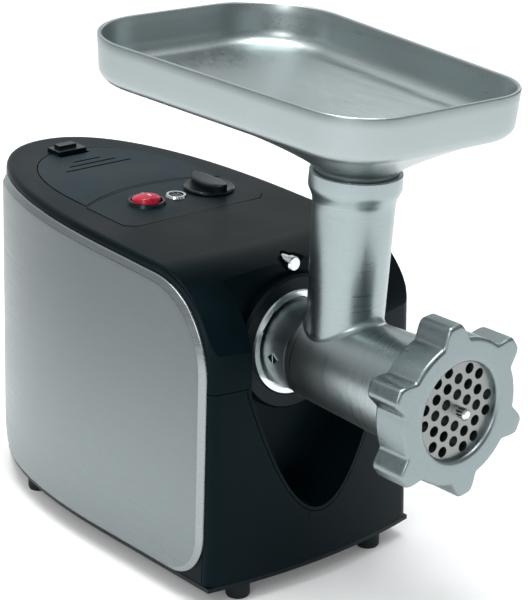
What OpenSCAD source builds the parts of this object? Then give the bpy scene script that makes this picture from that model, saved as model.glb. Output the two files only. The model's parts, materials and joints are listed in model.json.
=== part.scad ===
// Electric meat grinder: motor housing, removable grinding head and food tray.
// +X is to the right seen from the front, the head points along -Y, +Z is up.
// The origin is on the floor, midway between the scroll pin's tip and the housing's rear.

/* [Overall] */
// Length from the tip of the scroll pin to the rear of the housing
overall_len = 389.2; // [370:1:470]
// Width of the black housing at its base
housing_w = 152.6; // [140:1:185]
// Height of the housing's top where it rolls over into the front
housing_h = 190; // [178:1:230]
// Height of the base's underside above the floor
foot_h = 11; // [8:0.5:16]
// Height of the drive axis above the floor
hub_z = 137.4; // [134:0.2:145]
// Distance from the hub ring's front to the ring nut's front
head_reach = 130; // [120:1:156]

/* [Housing shape] */
// How far the front bows forward at its middle
front_bow = 8; // [4:0.5:12]
// How far the front stands ahead of the hub ring
hub_recess = 24.5; // [20:0.5:28]
// Radius of the roll from the top to the front
roll_r = 54; // [40:1:56]
// Rise of the top towards the rear, per millimetre
top_rise = 0.05; // [0:0.005:0.06]
// How far each side leans in from base to top
side_lean = 4; // [0:0.5:6]
// Length of the rounded rear stretch
rear_round = 170; // [150:1:175]
// Exponent of the rear outline, where 2 is an ellipse
rear_power = 2.2; // [2:0.05:2.6]
// Wall thickness of the plastic shells
shell_t = 2.5; // [2:0.1:3]
// Height of the seam between the upper shell and the lower front panel
seam_z = 127.7; // [120:0.5:132]
// Gap between neighbouring covers
seam_gap = 0.4; // [0.3:0.1:0.8]

/* [Front recess] */
// Half width of the recess round the hub
recess_w = 49; // [46:0.5:52]
// Height of the recess's lowest point
recess_low = 45; // [40:1:60]
// Height up to which the recess narrows downwards
recess_shoulder = 124; // [118:1:126]
// Depth of the recess floor behind the hub ring's front
floor_back = 6; // [4:0.5:9]

/* [Side panels] */
// How far the steel panels stand out from the housing
panel_proud = 3.4; // [2.6:0.1:5]
// Sheet thickness of the steel panels
panel_t = 1.2; // [0.8:0.1:1.6]
// Radius of the panels' upper front corner
panel_corner = 48; // [36:1:50]
// Radius of the panels' lower corners
panel_low_corner = 28; // [16:1:32]
// Y of the panels' rear edge
panel_rear_y = 158; // [120:1:165]

/* [Controls] */
// Half width of the control plate
plate_w = 51.5; // [48:0.5:53]
// Y of the control plate's front edge
plate_y = 26; // [22:0.5:30]
// Length of the control plate at its sides
plate_len = 41; // [38:0.5:44]
// Bulge of the control plate's rear edge
plate_bulge = 14; // [8:0.5:16]
// Gap between control plate and lid
plate_lid_gap = 3.2; // [2:0.2:5]
// Y of the row of controls
row_y = 55.3; // [52:0.1:57]
// X of the power rocker
rocker_x = -17; // [-20:0.5:-14]
// Radius of the power rocker's bezel
bezel_r = 11.8; // [10:0.1:13]
// X of the round signal window
signal_x = 5; // [3:0.5:7]
// Radius of the signal window's ring
signal_r = 6.4; // [5:0.1:7]
// X of the selector knob
knob_x = 30; // [28:0.5:33]
// Radius of the selector knob
knob_r = 15.5; // [13:0.5:17]

/* [Storage lid] */
// Half width of the storage lid
lid_w = 50; // [44:0.5:52]
// Y of the lid's rear end
lid_rear_y = 162; // [150:0.5:166]
// Thickness of the lid and of the control plate
lid_t = 2.4; // [2:0.1:3]
// Depth of the accessory bin under the lid
bin_depth = 45; // [30:1:60]

/* [Hub and drive] */
// Outer radius of the silver hub ring
hub_ring_r = 31; // [30:0.1:33]
// Radius of the ring's mouth
hub_mouth_r = 26.9; // [26.6:0.1:28]
// Outer radius of the black collar behind the ring
collar_r = 39.5; // [36:0.5:42]
// Radial clearance of the head's neck in the hub
neck_clear = 0.3; // [0.2:0.05:0.5]
// Depth of the head's neck in the hub
neck_depth = 15; // [13:0.5:17]
// Side of the square drive shank
drive_sq = 13; // [11:0.5:14]
// Clearance of the shank in its socket, per side
drive_clear = 0.2; // [0.1:0.05:0.4]
// Radial running clearance of the shafts
run_clear = 0.08; // [0.03:0.01:0.1]

/* [Grinding head] */
// Radius of the head's neck
neck_r = 25.5; // [24:0.1:25.8]
// Length of the neck in front of the hub ring
neck_len = 19; // [16:0.5:22]
// Radius of the barrel next to the neck
barrel_r1 = 26.6; // [26:0.1:28]
// Radius of the barrel behind the ring nut
barrel_r2 = 30.2; // [29:0.1:31]
// Radius of the barrel's bore
bore_r = 22.4; // [20:0.1:23]
// Distance of the feed tube's axis behind the ring nut's front
tube_back = 91.8; // [88:0.5:98]
// Radius of the feed tube at its top
tube_r = 22.4; // [21:0.1:24]
// Radius of the feed tube's bore
throat_r = 19; // [17:0.1:19.5]
// Height of the feed tube's rim above the drive axis
tube_h = 110.2; // [104:0.5:120]
// Radius of the cup at the top of the feed tube
cup_r = 25.2; // [24.8:0.1:26]
// Height of the cup
cup_h = 10; // [8:0.5:14]
// Forward lean of the feed tube in degrees
tube_lean = 2.7; // [0:0.1:4]
// Turn of the feed tube about the drive axis in degrees, as the bayonet stops it
head_turn = 0.95; // [0:0.05:3]

/* [Ring nut, plate and knife] */
// Radius of the ring nut between its lobes
nut_r = 40.5; // [39:0.5:43]
// Radius over the lobes
nut_lobe_r = 50; // [48:0.5:54]
// Number of lobes
nut_lobes = 6; // [5:1:8]
// Width of a lobe
lobe_w = 23; // [18:0.5:26]
// Length of the ring nut
nut_len = 23; // [20:0.5:26]
// Radius of the ring nut's opening
nut_open_r = 27; // [26:0.1:28]
// Radius of the hole plate
plate_r = 31; // [30.5:0.1:31.5]
// Thickness of the hole plate
plate_t = 5; // [4:0.5:6]
// Diameter of the plate's holes
hole_d = 6; // [3:0.5:7]
// Distance between neighbouring holes
hole_pitch = 8.7; // [8:0.1:10]
// Radius within which the plate's holes lie
hole_field_r = 24; // [20:0.5:25]
// How far the scroll pin stands out of the ring nut
pin_proud = 4.1; // [2:0.1:6]
// Radius of the scroll pin
pin_r = 2.9; // [2.5:0.1:3.5]

/* [Food tray] */
// Length of the tray's rim
tray_len = 228.8; // [200:1:250]
// Width of the rim at its middle
tray_w = 147.4; // [130:0.1:180]
// How much wider the rim is at the rear than at the middle
tray_flare = 10.6; // [0:0.1:20]
// Height of the rim above the drive axis
tray_top = 162.4; // [158:0.2:178]
// Height of the tray's wall
tray_wall = 25; // [18:0.5:30]
// Radius of the rim's front corners
tray_corner = 35; // [25:1:45]
// Radius of the rim's rear corners
tray_rear_corner = 50; // [30:1:60]
// Bulge of the tray's sides
tray_bulge = 0; // [0:0.5:6]
// Sheet thickness of the tray
tray_t = 2; // [1.5:0.1:2.5]
// Distance of the tray's middle behind the feed tube
tray_back = 46; // [30:0.5:50]

/* [Gears and motor] */
// Module of the second gear stage
mod_b = 1.25; // [1:0.05:1.4]
// Teeth of the output gear
teeth_out = 48; // [40:1:52]
// Teeth of the intermediate pinion
teeth_mid_s = 12; // [11:1:14]
// Module of the first gear stage
mod_a = 1; // [0.8:0.05:1.1]
// Teeth of the intermediate wheel
teeth_mid_l = 50; // [40:1:54]
// Teeth of the motor pinion
teeth_motor = 10; // [9:1:12]
// Radius of the motor's field stack
stack_r = 42; // [38:1:44]
// Length of the motor's field stack
stack_len = 46; // [36:1:55]
// Radius of the rotor
rotor_r = 23; // [18:0.5:25]
// Air gap between rotor and field stack
air_gap = 0.8; // [0.5:0.1:1.2]

/* [Feet] */
// Radius of a rubber foot
foot_r = 7; // [5:0.5:9]
// X of the front feet
foot_front_x = 50; // [44:1:56]
// X of the rear feet
foot_rear_x = 56; // [48:1:60]

/* [Hidden] */
$fn = 96;
eps = 0.05;
big = 600;

// Places along the drive axis, from the nose to the rear
tip_y = -overall_len / 2;
rear_y = overall_len / 2;
nut_y = tip_y + pin_proud;
hub_y = nut_y + head_reach;
front_y = hub_y - hub_recess;
floor_y = hub_y + floor_back;
tube_y = nut_y + tube_back;
nut_lip = 4;
seat_gap = 0.1;
plate_front_y = nut_y + nut_lip + seat_gap;
plate_rear_y = plate_front_y + plate_t;
knife_t = 7;
knife_y = plate_rear_y + seat_gap;
barrel_front_y = plate_front_y + 2.5;
chamber_rear_y = knife_y + knife_t + 1;
neck_front_y = hub_y - neck_len;
neck_rear_y = hub_y + neck_depth;

// Heights of the housing
base_t = 2.6;
half_w = housing_w / 2;
corner_y = front_y + front_bow;
bow_r = (half_w * half_w + front_bow * front_bow) / (2 * front_bow);
bow_y = front_y + bow_r;
shell_z = foot_h + base_t + seam_gap;
roll_z = housing_h - roll_r;
top_at_axis = housing_h + top_rise * (bow_r - roll_r);
shell_h = top_at_axis + 12;
round_y = rear_y - rear_round;
top_tilt = atan(top_rise);

// Gear sizes and heights
pitch_out = mod_b * teeth_out / 2;
pitch_mid_s = mod_b * teeth_mid_s / 2;
pitch_mid_l = mod_a * teeth_mid_l / 2;
pitch_motor = mod_a * teeth_motor / 2;
mid_z = hub_z - pitch_out - pitch_mid_s;
motor_z = mid_z - pitch_mid_l - pitch_motor;
case_y = neck_rear_y + 3;
case_t = 4;
cover_y = case_y + 46;
wheel_out_y = case_y + 14;
wheel_out_t = 12;
wheel_mid_y = cover_y - 12;
wheel_mid_t = 8;
stack_y = cover_y + 38;
end_y = stack_y + stack_len + 30;
shaft_r = 4;

// Top surface: height over a place, and a frame lying on it
function top_z(y) = housing_h + top_rise * (y - (front_y + roll_r));
module on_top(x, y) translate([x, y, top_z(y)]) rotate([top_tilt, 0, 0]) children();

// Frame of the feed tube: its origin on the drive axis, +Z up the tube
module on_tube() translate([0, tube_y, hub_z]) rotate([0, head_turn, 0]) rotate([tube_lean, 0, 0]) children();

// A solid of revolution about the drive axis: children are drawn as [radius, y]
module on_axis(z = hub_z, x = 0) translate([x, 0, z]) rotate([-90, 0, 0]) children();
module axis_rod(r, y0, y1, z = hub_z, x = 0) on_axis(z, x) translate([0, 0, y0]) cylinder(r = r, h = y1 - y0);
module axis_cone(r0, r1, y0, y1, z = hub_z) on_axis(z) translate([0, 0, y0]) cylinder(r1 = r0, r2 = r1, h = y1 - y0);
module axis_tube(ro, ri, y0, y1, z = hub_z, x = 0) difference() {
    axis_rod(ro, y0, y1, z, x);
    axis_rod(ri, y0 - 1, y1 + 1, z, x);
}

// Housing outline seen from above, drawn in by off
function front_pts(off) = [for (i = [0:12]) let (x = (half_w - off) * (i / 6 - 1))
    [x, bow_y - sqrt((bow_r - off) * (bow_r - off) - x * x)]];
function rear_pts(off) = [for (i = [0:28]) let (a = 180 * i / 28, c = cos(a), s = sin(a))
    [(half_w - off) * sign(c) * pow(abs(c), 2 / rear_power),
     round_y + (rear_round - off) * pow(abs(s), 2 / rear_power)]];
module plan(off) polygon(concat(front_pts(off), rear_pts(off)));

// Upright body on that outline, its sides leaning in
module leaning(off) linear_extrude(height = shell_h, slices = 1, segments = 1, $fn = 0,
    scale = [1 - side_lean * shell_h / housing_h / half_w, 1 - side_lean * shell_h / housing_h / rear_y]) plan(off);

// Side profile of the housing, turned about the front's bow
module roll_profile(off) {
    square([bow_r - off, roll_z]);
    translate([bow_r - roll_r, roll_z]) circle(r = roll_r - off);
    polygon([[0, roll_z - 1], [bow_r - roll_r, roll_z - 1], [bow_r - roll_r, housing_h - off],
        [0, top_at_axis - off]]);
}
module rolled(off) translate([0, bow_y, 0]) rotate_extrude($fn = 240) intersection() {
    roll_profile(off);
    square([bow_r, shell_h]);
}
module housing_solid(off) intersection() {
    leaning(off);
    rolled(off);
}
module housing_wall() difference() {
    housing_solid(0);
    housing_solid(shell_t);
}

// Outline of the recess round the hub, seen from the front
recess_drop = recess_shoulder - recess_low;
function recess_pts(w, top) = concat([for (i = [-10:10]) let (x = w * i / 10)
    [x, recess_shoulder + w - recess_w - (recess_drop + w - recess_w) * (1 - x * x / w / w) - (w - recess_w)]],
    [[w, top], [-w, top]]);
module recess(off, y0, y1, top = 230) translate([0, y1, 0]) rotate([90, 0, 0]) linear_extrude(height = y1 - y0)
    polygon(recess_pts(recess_w + off, top));

// Region of the lower front panel, grown by g
module front_region(g) translate([-half_w, front_y - 10, shell_z - 1 - g])
    cube([2 * half_w, 24 + g, seam_z - shell_z + 1 + 2 * g]);

module base_pan() color("#14181b") difference() {
    union() {
        translate([0, 0, foot_h]) linear_extrude(height = base_t) plan(0);
        translate([0, 0, foot_h]) linear_extrude(height = base_t + 9) difference() {
            plan(shell_t + 0.6);
            plan(shell_t + 2.8);
        }
        screw_places() cylinder(r = 5, h = 12);
    }
    screw_places() translate([0, 0, -1]) cylinder(r = 2.2, h = 20);
    vent_slots();
}
foot_front_y = corner_y + foot_r - 1;
foot_rear_y = foot_front_y + 188;
module foot_places() for (sx = [-1, 1]) {
    translate([sx * foot_front_x, foot_front_y, 0]) children();
    translate([sx * foot_rear_x, foot_rear_y, 0]) children();
}
screw_x = 52;
module screw_places() for (sx = [-1, 1], y = [foot_front_y + 34, foot_rear_y - 20])
    translate([sx * screw_x, y, foot_h]) children();
module vent_slots() for (i = [0:6]) translate([-22, foot_rear_y - 46 + i * 8, foot_h - 1]) cube([44, 3, 6]);

module upper_shell() color("#20272c") difference() {
    union() {
        difference() {
            housing_wall();
            front_region(seam_gap);
            recess(0, front_y - 30, floor_y);
        }
        intersection() {
            difference() {
                recess(2.2, front_y - 1, floor_y + 2.2);
                recess(0, front_y - 30, floor_y);
            }
            housing_solid(0.2);
        }
        flat_shift(-lid_t - 1.8, lid_t + 1.2) plate_outline(-1.2);
    }
    translate([-big / 2, -big / 2, -1]) cube([big, big, shell_z + 1]);
    recess_lip_trim();
    axis_rod(hub_sleeve_r + 0.3, floor_y - 2, floor_y + 6);
    translate([0, button_y - 20, button_z]) rotate([-90, 0, 0]) cylinder(r = button_r + 0.4, h = 60);
    translate([0, button_y + 1.5, button_z]) rotate([90, 0, 0]) cylinder(r1 = button_r + 1.5, r2 = 11, h = 14);
    latch_room(0);
    flat_shift(-lid_t - 0.1, 20) plate_outline(-0.3);
    flat_shift(-20, 40) plate_outline(3);
    flat_shift(-lid_t - 6, 20) lid_outline(-0.4);
    rear_vents();
    translate([0, rear_y - 20, gland_z]) rotate([-90, 0, 0]) cylinder(r = gland_r + 0.2, h = 40);
}
module recess_lip_trim() intersection() {
    front_region(seam_gap);
    difference() {
        translate([-half_w, front_y - 20, 0]) cube([2 * half_w, 40, seam_z]);
        recess(2.2 + eps, front_y - 30, floor_y + 20);
    }
}
module rear_vents() for (i = [-4:4]) translate([i * 7 - 1.5, rear_y - 30, 70]) cube([3, 40, 42]);

module front_panel() color("#1b2125") difference() {
    intersection() {
        housing_wall();
        front_region(0);
    }
    translate([-big / 2, -big / 2, -1]) cube([big, big, shell_z + 1]);
    recess(2.2 + seam_gap, front_y - 30, floor_y + 20);
}

// Side profile with four round corners: [y, z] low corner to high corner
module round_rect(y0, z0, y1, z1, r_low, r_front, r_rear) {
    difference() {
        polygon([[y0, z0], [y1, z0], [y1, z1 + top_rise * (y1 - y0)], [y0, z1]]);
        translate([y0 - 1, z0 - 1]) square(r_low + 1);
        translate([y1 - r_low, z0 - 1]) square([r_low + 1, r_low + 1]);
        translate([y0 - 1, z1 - r_front]) square([r_front + 1, r_front + 20]);
        translate([y1 - r_rear, z1 - 30]) square([r_rear + 1, 60]);
    }
    translate([y0 + r_low, z0 + r_low]) circle(r = r_low);
    translate([y1 - r_low, z0 + r_low]) circle(r = r_low);
    translate([y0 + r_front, z1 - r_front]) circle(r = r_front);
    translate([y0 + r_front, z1 - r_front - 1]) square([4, r_front + 1]);
    translate([y1 - r_rear - 1, z0 + r_low]) square([r_rear + 1, z1 - 30 - z0 - r_low + eps]);
}
panel_low_z = foot_h + base_t + 0.4;
panel_top_z = housing_h - 4.8;
panel_front_y = corner_y + 5;
module panel_region(inset) translate([-big / 2, 0, 0]) rotate([90, 0, 90]) linear_extrude(height = big / 2)
    round_rect(panel_front_y + inset, panel_low_z + inset, panel_rear_y - inset, panel_top_z - inset,
        panel_low_corner - inset, panel_corner - inset, 1);
module side_panel() {
    intersection() {
        difference() {
            leaning(-panel_proud);
            leaning(panel_t - panel_proud);
        }
        panel_region(0);
    }
    intersection() {
        difference() {
            leaning(panel_t - panel_proud - eps);
            leaning(-seam_gap);
        }
        difference() {
            panel_region(0);
            panel_region(panel_t);
        }
    }
}
module side_panel_left() color("#9aa2a5") side_panel();
module side_panel_right() color("#9aa2a5") mirror([1, 0, 0]) side_panel();

hub_sleeve_r = 31;
module hub_collar() color("#15191c") axis_collar();
module axis_collar() difference() {
    union() {
        axis_cone(collar_r - 1.5, collar_r, hub_y + 0.6, hub_y + 2.1);
        axis_rod(collar_r, hub_y + 2.1, floor_y - 0.1);
    }
    axis_rod(hub_ring_r + 0.1, hub_y - 5, floor_y + 5);
}
lug_r = hub_mouth_r - 0.2;
lug_rear = neck_rear_y - 1.5;
lug_front = lug_rear - 4;
module hub_socket() color("#b9c0c3") difference() {
    union() {
        axis_cone(hub_ring_r - 1, hub_ring_r, hub_y, hub_y + 1);
        axis_rod(hub_ring_r, hub_y + 1, case_y - 0.1);
    }
    axis_rod(neck_r + neck_clear, hub_y - 5, case_y + 5);
    axis_rod(hub_mouth_r, hub_y - 5, hub_y + 5);
    axis_rod(lug_r + 0.3, lug_front - 0.4, case_y + 5);
    for (a = [0, 180]) on_axis() rotate([0, 0, a + lug_turn]) translate([0, -7, hub_y - 5])
        cube([lug_r + 0.3, 14, 30]);
}
lug_turn = 40;

// Cast gearbox round the wheels: a front shell and a rear cover
module gear_outline(off) {
    translate([0, -hub_z]) circle(r = pitch_out + 6 + off);
    translate([0, -mid_z]) circle(r = pitch_mid_l + 5 + off);
    translate([0, -motor_z]) circle(r = 14 + off);
}
module gear_slab(off, y0, y1) translate([0, y0, 0]) rotate([-90, 0, 0]) linear_extrude(height = y1 - y0)
    gear_outline(off);
bush_r = 15;
out_r = 11;
module gearbox_case() color("#8d9496") difference() {
    union() {
        gear_slab(0, case_y, cover_y);
        translate([-5, case_y, hub_z + pitch_out + 3]) cube([10, case_t, button_z + 2.1 - hub_z - pitch_out - 3]);
    }
    translate([0, case_y - 1, button_z]) rotate([-90, 0, 0]) cylinder(r = lock_r + run_clear, h = case_t + 2);
    gear_slab(-3, case_y + case_t, cover_y + 1);
    axis_rod(bush_r, case_y - 1, case_y + case_t + 1);
    axis_rod(4.2, case_y - 1, case_y + case_t - 1, mid_z);
}
module gearbox_cover() color("#8d9496") difference() {
    gear_slab(0, cover_y + 0.1, cover_y + 7);
    axis_rod(5 + run_clear, cover_y - 1, cover_y + 4);
    axis_rod(3.5 + run_clear, cover_y - 1, cover_y + 4, mid_z);
    axis_rod(9.5, cover_y - 1, cover_y + 8, motor_z);
}
module output_bush() color("#c8a060") difference() {
    axis_rod(bush_r - 0.02, case_y + 0.1, case_y + case_t + 5);
    axis_rod(out_r + run_clear, case_y - 1, case_y + case_t + 6);
}

// Motor: field stack, coils, end frame, bearings and brushes
module motor_cradle() color("#22282c") difference() {
    union() {
        for (y = [stack_y - 4, stack_y + stack_len - 4])
            translate([-34, y, foot_h + base_t + 0.1]) cube([68, 8, motor_z - foot_h - base_t - 12]);
        translate([-34, stack_y - 4, foot_h + base_t + 0.1]) cube([68, stack_len + 8, 3]);
    }
    axis_rod(stack_r + 0.3, stack_y - 20, end_y, motor_z);
}
module field_stack() color("#6f7578") difference() {
    axis_rod(stack_r, stack_y, stack_y + stack_len, motor_z);
    axis_rod(rotor_r + air_gap, stack_y - 1, stack_y + stack_len + 1, motor_z);
    for (sx = [-1, 1]) axis_rod(2.4, stack_y - 1, stack_y + stack_len + 1, motor_z, sx * (stack_r - 6));
    for (a = [90, 270]) on_axis(motor_z) rotate([0, 0, a]) translate([rotor_r + 3, -11, stack_y - 1])
        cube([7, 22, stack_len + 2]);
}
module field_coils() color("#a5562a") for (y = [stack_y - 9, stack_y + stack_len + 0.2])
    axis_tube(rotor_r + 7.5, rotor_r + 2, y, y + 8.8, motor_z);
module motor_end_frame() color("#8d9496") difference() {
    union() {
        axis_rod(14, end_y, end_y + 9, motor_z);
        translate([-stack_r, end_y, motor_z - 8]) cube([2 * stack_r, 5, 16]);
        for (sx = [-1, 1]) axis_rod(5, stack_y + stack_len + 0.1, end_y + 1, motor_z, sx * (stack_r - 6));
    }
    axis_rod(9.5, end_y - 1, end_y + 7, motor_z);
    axis_rod(shaft_r + 1, end_y - 1, end_y + 12, motor_z);
    for (sx = [-1, 1]) axis_rod(2.1, stack_y, end_y + 12, motor_z, sx * (stack_r - 6));
}
module rotor_bearings() color("#c9ced0") for (y = [cover_y + 0.2, end_y + 0.2])
    axis_tube(9.5 - 0.02, shaft_r + run_clear, y, y + 6.5, motor_z);
comm_y = stack_y + stack_len + 13;
comm_r = 11;
module brush_holders() color("#3b2f22") for (sx = [-1, 1]) difference() {
    translate([sx * 21.5 - 8, comm_y, motor_z - 6]) cube([16, 11, 12]);
    translate([sx * 21.5 - 9, comm_y + 2, motor_z - 3.7]) cube([18, 7, 7.4]);
}
module carbon_brushes() color("#1c1c1c") for (sx = [-1, 1])
    translate([sx * (comm_r + 0.1 + 8) - 8, comm_y + 2.2, motor_z - 3.5]) cube([16, 6.6, 7]);
module motor_screws() color("#b5babd") for (sx = [-1, 1]) {
    axis_rod(2, stack_y - 2, end_y + 5, motor_z, sx * (stack_r - 6));
    axis_rod(3.6, end_y + 5, end_y + 8, motor_z, sx * (stack_r - 6));
}

// Moving parts of the drive
module spur(teeth, mod, t, y, z, turn) {
    pr = mod * teeth / 2;
    root = pr - 1.2 * mod;
    tip = pr + 0.9 * mod;
    step = 360 / teeth;
    translate([0, y, z]) rotate([-90, 0, 0]) linear_extrude(height = t) polygon([for (i = [0:teeth - 1])
        each [for (p = [[root, -0.30], [pr, -0.215], [tip, -0.10], [tip, 0.10], [pr, 0.215], [root, 0.30]])
            let (a = (i + p[1]) * step + turn) [p[0] * cos(a), p[0] * sin(a)]]]);
}
module rotor_shaft() color("#c9ced0") {
    axis_rod(pinion_bore_r, wheel_mid_y - 1, cover_y + 0.2, motor_z);
    axis_rod(shaft_r, cover_y + 0.2, end_y + 8, motor_z);
}
pinion_bore_r = 2.5;
module rotor_core() color("#7a5a48") difference() {
    axis_rod(rotor_r, stack_y, stack_y + stack_len, motor_z);
    axis_rod(shaft_r, stack_y - 1, stack_y + stack_len + 1, motor_z);
    for (i = [0:11]) on_axis(motor_z) rotate([0, 0, i * 30]) translate([rotor_r - 2, -1, stack_y - 1])
        cube([3, 2, stack_len + 2]);
}
module commutator() color("#b87333") difference() {
    axis_rod(comm_r, comm_y - 3, comm_y + 13, motor_z);
    axis_rod(shaft_r, comm_y - 5, comm_y + 15, motor_z);
    for (i = [0:11]) on_axis(motor_z) rotate([0, 0, i * 30]) translate([comm_r - 1, -0.3, comm_y - 1])
        cube([2, 0.6, 16]);
}
fan_y = cover_y + 12;
module cooling_fan() color("#2b3136") difference() {
    union() {
        axis_rod(9, fan_y, fan_y + 12, motor_z);
        axis_rod(34, fan_y, fan_y + 2, motor_z);
        for (i = [0:8]) on_axis(motor_z) rotate([0, 0, i * 40]) translate([8, -0.8, fan_y + 1]) cube([26, 1.6, 10]);
    }
    axis_rod(shaft_r, fan_y - 1, fan_y + 13, motor_z);
}
module motor_pinion() color("#c9ced0") difference() {
    spur(teeth_motor, mod_a, wheel_mid_t + 2, wheel_mid_y - 1, motor_z, 90);
    axis_rod(pinion_bore_r, wheel_mid_y - 3, wheel_mid_y + wheel_mid_t + 4, motor_z);
}
module intermediate_shaft() color("#c9ced0") {
    axis_rod(3.5, case_y + case_t + 0.2, cover_y + 3.8, mid_z);
}
module intermediate_wheel() color("#d8d4c4") difference() {
    spur(teeth_mid_l, mod_a, wheel_mid_t, wheel_mid_y, mid_z, -90 + 180 / teeth_mid_l);
    axis_rod(3.5, wheel_mid_y - 1, wheel_mid_y + wheel_mid_t + 1, mid_z);
}
module intermediate_pinion() color("#c9ced0") difference() {
    spur(teeth_mid_s, mod_b, wheel_out_t + 2, wheel_out_y - 1, mid_z, 90);
    axis_rod(3.5, wheel_out_y - 3, wheel_out_y + wheel_out_t + 3, mid_z);
}
module output_gear() color("#c9ced0") difference() {
    spur(teeth_out, mod_b, wheel_out_t, wheel_out_y, hub_z, -90 + 180 / teeth_out);
    axis_rod(out_r, wheel_out_y - 1, wheel_out_y + wheel_out_t + 1);
}
socket_depth = 20;
out_front_y = case_y + 0.5;
module output_shaft() color("#b9c0c3") difference() {
    union() {
        axis_rod(out_r, out_front_y, wheel_out_y + wheel_out_t + 2);
        axis_rod(5, wheel_out_y + wheel_out_t + 1, cover_y + 3.8);
    }
    square_rod(drive_sq + 2 * drive_clear, out_front_y - 1, out_front_y + socket_depth);
}
module square_rod(w, y0, y1) translate([-w / 2, y0, hub_z - w / 2]) cube([w, y1 - y0, w]);

// Scroll, pin and knife turn with the output shaft
tail_r = 9;
scroll_r = bore_r - 0.6;
scroll_front_y = chamber_rear_y;
scroll_rear_y = neck_front_y + 22;
scroll_turns = 4.5;
scroll_core = 9.5;
function thread_r(a) = scroll_core + (scroll_r - scroll_core) * pow(max(0, cos(a)), 3);
module scroll_flight() translate([0, scroll_front_y, hub_z]) rotate([-90, 0, 0])
    linear_extrude(height = scroll_rear_y - scroll_front_y, twist = 360 * scroll_turns, slices = 54,
        segments = 18, $fn = 18)
        polygon([for (i = [0:17]) let (a = 20 * i) [thread_r(a) * cos(a), thread_r(a) * sin(a)]]);
module scroll() color("#aeb5b8") {
    scroll_flight();
    axis_rod(tail_r, scroll_rear_y - 4, neck_rear_y + 1);
    square_rod(drive_sq, neck_rear_y + 1 - eps, out_front_y + socket_depth - 2);
    square_rod(9, knife_y, scroll_front_y + 1);
}
module scroll_pin() color("#c9ced0") {
    axis_rod(pin_r, tip_y + 0.8, knife_y - 0.05);
    axis_cone(pin_r - 0.8, pin_r, tip_y, tip_y + 0.8);
}
module knife() color("#b9c0c3") difference() {
    union() {
        axis_rod(10, knife_y, knife_y + knife_t);
        for (a = [0, 90, 180, 270]) on_axis() rotate([0, 0, a]) translate([0, -4, knife_y]) cube([27, 8, 4.5]);
    }
    square_rod(9.2, knife_y - 1, knife_y + knife_t + 1);
}

// Grinding head
chamber_r = plate_r + 0.15;
front_r = 35.2;
module head_casting() color("#9aa3a6") difference() {
    union() {
        axis_rod(neck_r, neck_front_y, neck_rear_y);
        axis_cone(barrel_r1, barrel_r2, nut_y + nut_len + 1, neck_front_y);
        axis_rod(front_r, barrel_front_y, nut_y + nut_len - 4);
        mirror_cone();
        on_tube() {
            cylinder(r1 = tube_r - 1.2, r2 = tube_r, h = tube_h - cup_h - 6);
            translate([0, 0, tube_h - cup_h - 6]) cylinder(r1 = tube_r, r2 = cup_r - 0.6, h = 6);
            translate([0, 0, tube_h - cup_h]) cylinder(r = cup_r, h = cup_h);
        }
        for (a = [0, 180]) lug(a);
    }
    axis_rod(bore_r, chamber_rear_y - 1, neck_rear_y - 7);
    axis_rod(chamber_r, barrel_front_y - 5, chamber_rear_y);
    axis_rod(bush_out_r, neck_rear_y - 12, neck_rear_y + 5);
    on_tube() {
        cylinder(r = throat_r, h = tube_h + 5);
        translate([0, 0, tube_h - cup_h]) cylinder(r = spigot_r + 0.2, h = cup_h + 5);
    }
    translate([-1.7, barrel_front_y - 1, hub_z + chamber_r - 1]) cube([3.4, 1 + plate_rear_y - barrel_front_y, 3]);
}
module mirror_cone() axis_cone(barrel_r2, barrel_r2 - 0.5, nut_y + nut_len - 5, nut_y + nut_len + 1.1);
module lug(a) intersection() {
    axis_tube(lug_r, neck_r - 1, lug_front, lug_rear);
    on_axis() rotate([0, 0, a]) translate([0, -6, lug_front - 1]) cube([40, 12, 10]);
}
bush_out_r = 13;
module scroll_bush() color("#e6e3d8") difference() {
    axis_rod(bush_out_r - 0.02, neck_rear_y - 7 + 0.1, neck_rear_y - 0.2);
    axis_rod(tail_r + run_clear, neck_rear_y - 10, neck_rear_y + 3);
}

// Holes on a triangular grid, turned as the plate's key sets it
grid_turn = 27;
function grid_pts() = [for (i = [-4:4], j = [-4:4]) let (
    x = hole_pitch * (i + j / 2), z = hole_pitch * j * sqrt(3) / 2)
    if (norm([x, z]) < hole_field_r && norm([x, z]) > 1) [x, z]];
module hole_plate() color("#8e9595") difference() {
    axis_rod(plate_r, plate_front_y, plate_rear_y);
    axis_rod(pin_r + run_clear, plate_front_y - 1, plate_rear_y + 1);
    for (p = grid_pts()) on_axis() rotate([0, 0, -grid_turn]) translate([p[0], p[1], plate_front_y - 1])
        cylinder(r = hole_d / 2, h = plate_t + 2, $fn = 32);
    translate([-1.7, plate_front_y - 1, hub_z + plate_r - 2]) cube([3.4, plate_t + 2, 4]);
}
module plate_key() color("#b9c0c3") translate([-1.5, barrel_front_y + 0.2, hub_z + plate_r - 1.8])
    cube([3, plate_rear_y - barrel_front_y - 0.3, 3.4]);

nut_thread_r = front_r + 0.35;
module ring_nut() color("#b4bcbf") difference() {
    on_axis() translate([0, 0, nut_y]) linear_extrude(height = nut_len) {
        circle(r = nut_r);
        for (i = [0:nut_lobes - 1]) rotate([0, 0, -lobe_turn - i * 360 / nut_lobes]) lobe_shape();
    }
    axis_rod(nut_open_r, nut_y - 1, nut_y + nut_lip + 1);
    axis_cone(nut_open_r + 3, nut_open_r - 0.5, nut_y - 0.5, nut_y + 3);
    axis_rod(nut_thread_r, nut_y + nut_lip, nut_y + nut_len + 1);
}
lobe_turn = 37;
module lobe_shape() intersection() {
    translate([nut_r - 4, -lobe_w / 2]) square([nut_lobe_r, lobe_w]);
    circle(r = nut_lobe_r);
}

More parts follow.
